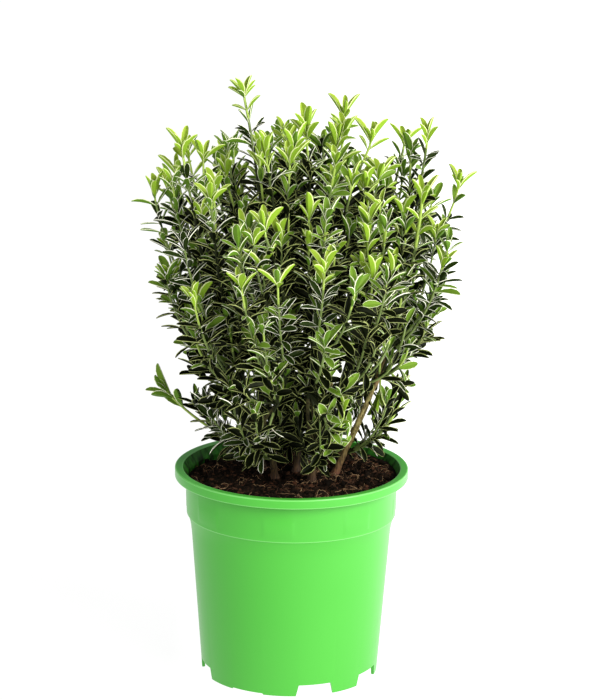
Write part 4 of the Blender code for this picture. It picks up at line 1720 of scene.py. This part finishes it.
    def young_tint(self, rng: Random, tip: Vector) -> Tint:
        """The tint of a shoot's young tip: lime at the crown's top and, lower, green by turns."""
        least, more = self.lime_chances
        chance = least + more * self.crown.height_share(tip) ** self.lime_power
        return Tint.YOUNG if rng.random() < chance else Tint.FRESH

    def grow(self, mass: Mass, index: int) -> list[Shoot]:
        """All the shoots of a mass.

        Args:
            mass: The mass.
            index: Its number on the plant.

        Returns:
            Its leader and side shoots.
        """
        rng = mass_rng(index)
        leader = self.leader_path(mass)
        is_arm = mass.skirt and mass.group == str(self.clump.low_arm_stem + 1)
        long_leader = leader[:-1] if is_arm else self.whole_leader(leader)
        flush = self.flush(rng, leader[-1], mass.skirt) * self.leader_flush
        flush = self.arm_flush if is_arm else flush
        leafy = self.arm_leafy if is_arm else path_length(long_leader) * self.leader_leafy_share
        old = Tint.FRESH if is_arm else Tint.GREEN
        young = Tint.FRESH if is_arm else self.young_tint(rng, leader[-1])
        side_scale = self.skirt_leaf_scale if mass.skirt else 1.0
        scale = self.arm_leaf_scale if is_arm else side_scale
        shoots = [Shoot(long_leader, self.leader_thick, flush, leafy, young, old, scale)]
        count = self.inner_shoots if mass.inner else self.outer_shoots
        if mass.skirt:
            count = self.skirt_shoots[int(mass.group) - 1]
        for k in range(count):
            side = self.side_path(shoot_rng(index, k), mass, leader, k)
            path = self.carried_on(side, self.side_reach)
            # Lower sprays take the darkest tint more often, as painted shade.
            least, more = self.green_chances
            chance = least + more * self.crown.height_share(path[-1])
            old = Tint.OLD_SHADED if rng.random() > chance else Tint.GREEN
            is_fine = k >= self.source_shoots and not mass.skirt
            leafy = path_length(path) * (self.fine_leafy_share if is_fine else self.leafy_share)
            young = self.young_tint(rng, path[-1])
            flush = self.flush(rng, path[-1], mass.skirt)
            thick = self.skirt_thick if mass.skirt else self.side_thick
            shoots.append(Shoot(path, thick, flush, leafy, young, old, side_scale))
        return shoots


@dataclass(frozen=True)
class LeafShape:
    """One shape of leaf, a unit long and a unit wide until it is scaled."""

    name: str
    fold: float
    bend: float
    twist: float = 0.0
    margin: float = 0.092
    thickness: float = 0.022
    stations: tuple[Pair, ...] = (
        (0.00, 0.07),
        (0.14, 0.15),
        (0.36, 0.40),
        (0.62, 0.50),
        (0.84, 0.41),
        (0.96, 0.21),
    )
    twist_lift: float = 0.33
    crease_limit: float = 0.3

    def surface(self, share: float, side: float) -> Vector:
        """The place on the leaf's face at a share of its length and a distance to the side."""
        lift = self.fold * abs(side) - self.bend * share * share
        turn = self.twist * share
        return Vector((side * math.cos(turn), share, lift + side * math.sin(turn) * self.twist_lift))

    def is_crease(self, edge: bmesh.types.BMEdge) -> bool:
        """Whether an edge is the leaf's outline or its midrib, where the shading breaks."""
        first, second = edge.link_faces
        sharp = first.normal.dot(second.normal) < self.crease_limit
        return sharp or all(abs(v.co.x) < TOUCHING for v in edge.verts)

    def build(self) -> Object:
        """The leaf as a closed thin mesh that numbers its zones.

        Returns:
            A hidden object that the scatter copies.
        """
        bm = bmesh.new()
        rows = []
        for share, half in self.stations:
            inner = half * (1.0 - self.margin)
            above = [self.surface(share, side) for side in (-half, -inner, 0.0, inner, half)]
            below = [self.surface(share, side) - UP * self.thickness for side in (inner, 0.0, -inner)]
            rows.append([bm.verts.new(point) for point in above + below])
        tip = bm.verts.new(self.surface(1.0, 0.0))
        across = [Zone.MARGIN, Zone.BLADE, Zone.BLADE, Zone.MARGIN,
                  Zone.MARGIN, Zone.UNDERSIDE, Zone.UNDERSIDE, Zone.MARGIN]
        count = len(across)
        for low, high in zip(rows, rows[1:]):
            for c in range(count):
                after = (c + 1) % count
                bm.faces.new((low[c], low[after], high[after], high[c]))
        for c in range(count):
            bm.faces.new((rows[-1][c], rows[-1][(c + 1) % count], tip))
        bm.faces.new(rows[0][::-1])
        bm.normal_update()
        zones = [int(zone) for zone in across] * len(rows) + [int(Zone.UNDERSIDE)]
        for edge in bm.edges:
            edge.smooth = not self.is_crease(edge)
        for leaf_face in bm.faces:
            leaf_face.smooth = True
        mesh = bpy.data.meshes.new(self.name)
        bm.to_mesh(mesh)
        bm.free()
        add_attribute(mesh, "zone", "INT", "FACE", zones)
        leaf = link_mesh(self.name, mesh)
        leaf.hide_render = True
        return leaf


@dataclass
class LeafSpot:
    """One leaf's place, turn, size, shape and tint."""

    foot: Vector
    turn: Triple
    size: Triple
    shape: int
    tint: int
    samples: list[Vector]


@dataclass
class Leafing:
    """Deals opposite pairs of leaves along a shoot, from its young tip to its bare foot."""

    lengths: Pair = (0.0160, 0.0240)
    young_lengths: Pair = (0.0185, 0.0260)
    widths: Pair = (0.26, 0.34)
    young_widths: Pair = (0.22, 0.29)
    tip_nodes: tuple[Pair, ...] = ((0.0003, 0.46), (0.0022, 0.86), (0.0068, 1.0))
    spacing: Pair = (0.0044, 0.0080)
    flush_spacing: Pair = (0.0080, 0.0125)
    whorl_spacing: Pair = (0.0020, 0.0034)
    whorl_pairs: int = 3
    young_spread: float = math.radians(21.0)
    flush_spread: float = math.radians(44.0)
    whorl_spread: float = math.radians(47.0)
    old_spread: float = math.radians(61.0)
    spread_reach: float = 0.040
    jitter: float = 0.34
    pair_jitter: float = 0.40
    missing: float = 0.12
    openness: Pair = (0.65, 1.45)
    fresh_reach: float = 0.015
    fresh_share: float = 0.50
    shapes: tuple[LeafShape, ...] = (
        LeafShape("leaf_arched", fold=0.12, bend=0.14),
        LeafShape("leaf_flat", fold=0.18, bend=0.05, twist=0.35),
        LeafShape("leaf_twisted", fold=0.15, bend=0.20, twist=-0.40),
        LeafShape("leaf_young", fold=0.26, bend=0.08, twist=0.25, margin=0.12),
        LeafShape("leaf_bud", fold=0.42, bend=-0.02, margin=0.14),
    )
    old_shapes: int = 3
    young_end: float = 0.001
    no_flush_reach: float = 0.4
    tip_gap: float = 0.006
    tip_growth: Pair = (0.65, 0.95)
    whorl_gap: float = 0.002
    whorl_growth: Pair = (0.75, 1.0)
    young_jitter: float = 0.7
    roll_jitter: float = 1.4
    bud_growth: float = 0.5
    half_growth: float = 0.55
    widest: float = 0.55
    lowest: float = 0.98
    sizes: Pair = (0.86, 1.06)

    def tint(self, rng: Random, shoot: Shoot, down: float) -> Tint:
        """The tint of a pair at a distance down from its shoot's tip.

        Args:
            rng: The shoot's own random numbers.
            shoot: The shoot.
            down: The distance.

        Returns:
            The tint.
        """
        if down < shoot.flush - self.young_end:
            return Tint.FRESH if rng.random() < self.fresh_share * down / shoot.flush else shoot.young_tint
        reach = self.fresh_reach if shoot.flush else self.fresh_reach * self.no_flush_reach
        if down < shoot.flush + reach and rng.random() < self.fresh_share:
            return Tint.FRESH
        return shoot.old_tint

    def spread(self, shoot: Shoot, down: float) -> float:
        """The mean angle between a leaf and its shoot, at a distance down from the tip.

        Args:
            shoot: The shoot.
            down: The distance.

        Returns:
            The angle.
        """
        if down < shoot.flush - self.young_end:
            return self.young_spread + (self.flush_spread - self.young_spread) * down / shoot.flush
        age = min(1.0, (down - shoot.flush) / self.spread_reach)
        first = self.whorl_spread if shoot.flush else self.young_spread
        return first + (self.old_spread - first) * age

    def nodes(self, rng: Random, shoot: Shoot) -> list[Pair]:
        """How far down from its shoot's tip each pair sits, and how grown it is.

        A young tip is a tight rosette on a stretch of almost bare stem, and a whorl of old leaves
        closes the growth of the year before.

        Args:
            rng: The shoot's own random numbers.
            shoot: The shoot.

        Returns:
            The distance and growth of each pair.
        """
        nodes = list(self.tip_nodes)
        down = nodes[-1][0]
        while down < shoot.flush:
            down += rng.uniform(*self.flush_spacing)
            if down < shoot.flush - self.tip_gap:
                nodes.append((down, rng.uniform(*self.tip_growth)))
        if shoot.flush:
            down = max(shoot.flush, nodes[-1][0] + self.whorl_gap)
            for _ in range(self.whorl_pairs):
                nodes.append((down, rng.uniform(*self.whorl_growth)))
                down += rng.uniform(*self.whorl_spacing)
        else:
            down += rng.uniform(*self.spacing)
        while down < shoot.leafy:
            nodes.append((down, 1.0))
            down += rng.uniform(*self.spacing)
        return nodes

    def leaf(self, rng: Random, foot: Vector, direction: Vector, out: Vector, spread: float,
             grown: float, tint: Tint) -> LeafSpot:
        """One leaf of a pair.

        Args:
            rng: The shoot's own random numbers.
            foot: Where it leaves the shoot.
            direction: The shoot's direction there.
            out: Square to that, the side that it leaves on.
            spread: The mean angle between such leaves and their shoot.
            grown: The share of a full leaf's length that it has reached.
            tint: Its age.

        Returns:
            The leaf's spot.
        """
        young = tint == Tint.YOUNG
        spread += rng.uniform(-1.0, 1.0) * self.jitter * (self.young_jitter if young else 1.0)
        heading = direction * math.cos(spread) + out * math.sin(spread)
        facing = direction * math.sin(spread) - out * math.cos(spread)
        roll = rng.uniform(-1.0, 1.0) * self.jitter * self.roll_jitter
        across = heading.cross(facing)
        facing = facing * math.cos(roll) + across * math.sin(roll)
        across = heading.cross(facing)
        length = rng.uniform(*(self.young_lengths if young else self.lengths)) * grown
        width = length * rng.uniform(*(self.young_widths if young else self.widths))
        if young or grown < self.half_growth:
            shape = self.old_shapes + int(grown < self.bud_growth)
        else:
            shape = rng.randrange(self.old_shapes)
        turn = Matrix((across, heading, facing)).transposed().to_euler()
        middle, side = foot + heading * length * self.widest, across * width * 0.5
        samples = [foot + heading * length, middle + side, middle - side]
        return LeafSpot(foot, tuple(turn), (width, length, length), shape, int(tint), samples)

    def deal(self, rng: Random, shoot: Shoot) -> list[LeafSpot]:
        """All the leaves of a shoot.

        Args:
            rng: The shoot's own random numbers.
            shoot: The shoot.

        Returns:
            Their spots.
        """
        length = path_length(shoot.path)
        turn = rng.uniform(0.0, math.pi)
        openness = rng.uniform(*self.openness)
        spots = []
        for down, grown in self.nodes(rng, shoot):
            if down > min(shoot.leafy, length * self.lowest):
                break
            foot, direction = along(shoot.path, 1.0 - down / length)
            turn += math.pi / 2 + rng.uniform(-1.0, 1.0) * self.pair_jitter
            tint, spread = self.tint(rng, shoot, down), self.spread(shoot, down)
            spread *= openness if tint == Tint.YOUNG else 1.0
            for side in (0.0, math.pi):
                if down > shoot.flush and rng.random() < self.missing:
                    continue
                out = side_of(direction, turn + side)
                size = grown * shoot.leaf_scale * rng.uniform(*self.sizes)
                spots.append(self.leaf(rng, foot, direction, out, spread, size, tint))
        return spots


@dataclass
class Opening:
    """The gap in the low foliage through which one bare, woody shoot shows from the front."""

    mass: str = "foliage_1_right"
    half_width: float = 0.0085
    low: float = 0.170
    high: float = 0.318
    kept: float = 0.12
    thick: Pair = (0.0022, 0.0012)
    path: Path = field(default_factory=list)

    def line(self, height: float) -> Vector:
        """The bare shoot's place at a height."""
        for a, b in zip(self.path, self.path[1:]):
            if a.z <= height <= b.z:
                return a.lerp(b, (height - a.z) / (b.z - a.z))
        return self.path[0] if height < self.path[0].z else self.path[-1]

    def hides(self, point: Vector) -> bool:
        """Whether something at a point would stand before the bare shoot."""
        if not self.low < point.z < self.high:
            return False
        stem = self.line(point.z)
        return point.y < stem.y and abs(point.x - stem.x) < self.half_width


@dataclass
class Foliage:
    """Leaves and twigs of the whole plant, in one piece of each for each stem."""

    clump: Clump
    clearance: Clearance
    rule: ShootRule
    leafing: Leafing = field(default_factory=Leafing)
    finishes: LeafFinishes = LeafFinishes()
    twig_finishes: tuple[PlainFinish, ...] = (
        PlainFinish("shoot_lime", srgb(158, 184, 78), 0.5),
        PlainFinish("shoot_green", srgb(112, 132, 66), 0.55),
        PlainFinish("shoot_shaded", srgb(38, 45, 18), 0.65, 0.2),
        PlainFinish("shoot_brown", srgb(134, 112, 74), 0.75, 0.3),
    )
    wood_reach: float = 0.125
    shade_depth: float = 0.023
    dark_depth: float = 0.040
    twig_sides: int = 5
    opening_seed: int = SEED + 77
    opening: Opening = field(default_factory=Opening)

    def __post_init__(self) -> None:
        """Traces the bare stem, bough and shoot that the opening shows."""
        mass = next(mass for mass in self.clump.masses if mass.name == self.opening.mass)
        bough = self.clump.boughs[mass.name.replace("foliage", "bough")]
        stem = self.clump.stems["stem_" + mass.group]
        lower = [point for point in stem if point.z < bough[0].z]
        self.opening.path = [*lower, *bough, *self.rule.leader_path(mass)[1:]]

    def twig(self, shoot: Shoot) -> Strand:
        """A shoot's own strand: lime at its tip, green below, brown at its foot, and painted dark as shade
        inside the crown.
        """
        length = path_length(shoot.path)
        count = len(shoot.path)
        finish = []
        for i, point in enumerate(shoot.path):
            down = length * (1.0 - i / (count - 1))
            kind = Wood.LIME if down < shoot.flush else Wood.GREEN if down < self.wood_reach else Wood.BROWN
            is_inside = not shoot.shown and self.rule.crown.depth(point) > self.shade_depth
            finish.append(Wood.SHADED if kind != Wood.LIME and is_inside else kind)
        return Strand(shoot.path, tapered(count, *shoot.thick), finish)

    def shade(self, spots: list[LeafSpot]) -> None:
        """Gives the leaves inside the crown darker tints than those on its outside, as painted shade."""
        for spot in spots:
            depth = self.rule.crown.depth(spot.foot)
            if depth > self.dark_depth:
                spot.tint = max(spot.tint + 1, Tint.GREEN) if spot.tint < Tint.OLD_SHADED else Tint.OLD_SHADED
            if depth > self.shade_depth and spot.tint >= Tint.GREEN:
                spot.tint = Tint.OLD_SHADED

    def cleared(self, spots: list[LeafSpot]) -> list[LeafSpot]:
        """The leaves that touch no limb, pot or soil."""
        rng = Random(self.opening_seed)
        points = np.array([tuple(sample) for spot in spots for sample in spot.samples])
        free = self.clearance.clear(points).reshape(len(spots), -1).all(axis=1)
        kept = []
        for spot, is_free in zip(spots, free):
            hides = any(self.opening.hides(sample) for sample in spot.samples)
            if is_free and not (hides and rng.random() > self.opening.kept):
                kept.append(spot)
        return kept

    def tree(self, shapes: list[Object]) -> NodeTree:
        """The node tree that sets leaves on their spots."""
        tree = NodeTree("leaves on spots", {"Size": "Float"})
        rotation = tree.add("FunctionNodeEulerToRotation", Euler=tree.attribute("turn", "FLOAT_VECTOR"))
        size = tree.attribute("size", "FLOAT_VECTOR")
        scale = tree.maths("ShaderNodeVectorMath", "SCALE", size, tree.inputs["Size"])
        leaves = tree.add("GeometryNodeInstanceOnPoints", Points=tree.inputs["Geometry"],
                          Instance=tree.shelf(shapes), Pick_Instance=True,
                          Instance_Index=tree.attribute("shape", "INT"), Rotation=rotation, Scale=scale)
        leaves = tree.add("GeometryNodeRealizeInstances", Geometry=leaves)
        finish = tree.maths("ShaderNodeMath", "MULTIPLY_ADD", tree.attribute("zone", "INT"), len(Tint),
                            tree.attribute("tint", "INT"))
        leaves = tree.add("GeometryNodeStoreNamedAttribute", {"data_type": "INT", "domain": "FACE"},
                          Geometry=leaves, Name="finish", Value=finish)
        tree.end(tree.dress(leaves, "finish", self.finishes.materials()))
        return tree

    def spot_mesh(self, spots: list[LeafSpot]) -> Object:
        """The spots as a mesh of points that holds each leaf's turn, size, shape and tint."""
        mesh = bpy.data.meshes.new("leaf_spots")
        mesh.from_pydata([spot.foot for spot in spots], [], [])
        kinds = {"turn": "FLOAT_VECTOR", "size": "FLOAT_VECTOR", "shape": "INT", "tint": "INT"}
        for name, kind in kinds.items():
            add_attribute(mesh, name, kind, "POINT", [getattr(spot, name) for spot in spots])
        return link_mesh("leaf_spots", mesh)

    def build(self) -> None:
        """Grows every mass and hands over its stem's leaves and twigs."""
        shapes = [shape.build() for shape in self.leafing.shapes]
        tree = self.tree(shapes)
        tubes = StrandBuilder(self.twig_sides, [finish.material() for finish in self.twig_finishes])
        for group in self.clump.groups():
            spots, strands, nodes = [], [], []
            for index, mass in enumerate(self.clump.masses):
                if mass.group != group:
                    continue
                nodes.append(mass.name)
                for k, shoot in enumerate(self.rule.grow(mass, index)):
                    if k == 0 and mass.name == self.opening.mass:
                        shoot.thick, shoot.shown = self.opening.thick, True
                    spots += self.leafing.deal(leaf_rng(index, k), shoot)
                    strands.append(self.twig(shoot))
            spots = self.cleared(spots)
            self.shade(spots)
            LOG.info("group %s: %d leaves", group, len(spots))
            hand_over(tree.apply(self.spot_mesh(spots), "leaves_" + group, Size=1.0), "foliage", *nodes)
            hand_over(tubes.build("twigs_" + group, strands), "foliage")
        for shape in shapes:
            bpy.data.objects.remove(shape, do_unlink=True)


@dataclass
class Bark:
    """The bark of the stems and boughs, with its ridges as real relief. The shown stem's bark is painted
    lighter as painted light, and the other stems' bark darker as painted shade.
    """

    clump: Clump
    shown_group: str = "1"
    finish: BarkFinish = BarkFinish()
    # A darker copy of the bark for the other stems: painted shade.
    shaded_finish: BarkFinish = BarkFinish(
        name="bark_olive",
        foot_furrow=srgb(30, 20, 13),
        foot_ridge=srgb(78, 54, 34),
        furrow=srgb(38, 34, 19),
        ridge=srgb(88, 82, 46),
        bloom=srgb(78, 88, 44),
    )
    sides: int = 16
    relief: float = 0.0007
    relief_scale: float = 620.0
    step: float = 0.0010

    def build(self) -> None:
        """Builds and hands over each stem with its boughs."""
        shown, shaded = self.finish.material(), self.shaded_finish.material()
        for group in self.clump.groups():
            # The shown stem takes the lighter bark as painted light; the others take the darker bark as
            # painted shade.
            materials = [shown if group == self.shown_group else shaded]
            tubes = StrandBuilder(self.sides, materials, self.relief, self.relief_scale, step=self.step)
            piece = tubes.build("bark_" + group, self.clump.group_strands(group))
            hand_over(piece, "bark", "stem_" + group, *self.clump.group_boughs(group))


# Studio


@dataclass(frozen=True)
class Sun:
    """A soft sun, with its width, its height over the floor and its turn to the right in degrees."""

    name: str
    strength: float
    width: float
    height: float
    turn: float
    colour: Colour = (1.0, 0.985, 0.96)

    def build(self) -> None:
        """Hangs the sun."""
        sun = bpy.data.lights.new(self.name, "SUN")
        sun.energy = self.strength
        sun.angle = math.radians(self.width)
        sun.color = self.colour
        lamp = bpy.data.objects.new(self.name, sun)
        bpy.context.scene.collection.objects.link(lamp)
        height, turn = math.radians(self.height), math.radians(self.turn)
        flat = math.cos(height)
        towards = Vector((flat * math.sin(turn), -flat * math.cos(turn), math.sin(height)))
        lamp.rotation_euler = towards.to_track_quat("Z", "Y").to_euler()


@dataclass
class Studio:
    """A floor that glows white, more to the right, as painted light; a soft key from the right front, a soft
    sky and the photograph's camera.
    """

    floor_size: float = 60.0
    floor_colour: Colour = (0.08, 0.08, 0.08)
    floor_roughness: float = 0.9
    floor_specular: float = 0.1
    suns: tuple[Sun, ...] = (
        Sun("key", 4.2, width=38.0, height=26.0, turn=46.0),
        Sun("fill", 1.30, width=70.0, height=20.0, turn=-50.0),
        Sun("edge", 1.0, width=60.0, height=24.0, turn=104.0),
    )
    sky_colour: Colour = (0.97, 0.985, 1.0)
    sky_strength: float = 0.26
    # How brightly the floor glows, from its left to its right: painted light.
    floor_glow: Pair = (0.95, 2.2)
    glow_reach: Pair = (-0.1, 0.6)
    camera_place: Triple = (0.006, -2.4, 0.89)
    target: Triple = (0.0057, 0.0, 0.27)
    roll: float = math.radians(0.7)
    lens: float = 158.0
    sensor: float = 36.0

    def build(self) -> None:
        """Makes the floor, the lights and the camera."""
        self.build_floor()
        self.build_lights()
        self.build_camera()

    def build_floor(self) -> None:
        """A near-black floor that glows white, more towards the right: painted light that lights the plant
        from below and brightens the pot's right side.
        """
        bm = bmesh.new()
        bmesh.ops.create_grid(bm, x_segments=1, y_segments=1, size=self.floor_size / 2)
        floor = mesh_from("floor", bm)
        white = PatternMaterial("floor_white")
        white.set("Base Color", (*self.floor_colour, 1.0))
        white.set("Roughness", self.floor_roughness)
        white.set("Specular IOR Level", self.floor_specular)
        # The glow is painted light: it grows towards the right, where the pot's right side reflects it.
        white.set("Emission Color", (1.0, 1.0, 1.0, 1.0))
        white.set("Emission Strength", white.span(white.rise(*self.glow_reach, "X"), *self.floor_glow))
        floor.data.materials.append(white.material)

    def build_lights(self) -> None:
        """A soft key from the right front, weak lights from the left and the right, and an even sky."""
        for sun in self.suns:
            sun.build()
        world = bpy.data.worlds.new("sky")
        bpy.context.scene.world = world
        world.use_nodes = True
        sky = world.node_tree.nodes["Background"]
        sky.inputs["Color"].default_value = (*self.sky_colour, 1.0)
        sky.inputs["Strength"].default_value = self.sky_strength

    def build_camera(self) -> None:
        """The camera where the photograph was taken from."""
        camera = bpy.data.cameras.new("camera")
        camera.lens = self.lens
        camera.sensor_width = self.sensor
        holder = bpy.data.objects.new("camera", camera)
        bpy.context.scene.collection.objects.link(holder)
        holder.location = self.camera_place
        aim = Vector(self.target) - Vector(self.camera_place)
        holder.rotation_euler = aim.to_track_quat("-Z", "Y").to_euler()
        holder.rotation_euler.rotate_axis("Z", self.roll)
        bpy.context.scene.camera = holder
        bpy.context.scene.view_settings.view_transform = "Standard"


def main() -> None:
    """Loads the frame and builds the pot, the soil, the plant and the studio."""
    logging.basicConfig(level=logging.INFO, format="%(name)s: %(message)s")
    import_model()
    Studio().build()
    pot = Pot()
    pot.build()
    soil = Soil(pot)
    soil.build()
    crown = Crown(ground=soil.edge + soil.mound)
    clump = Clump(crown)
    Bark(clump).build()
    Foliage(clump, Clearance(clump, pot, soil), ShootRule(crown, clump)).build()


if __name__ == "__main__":
    main()
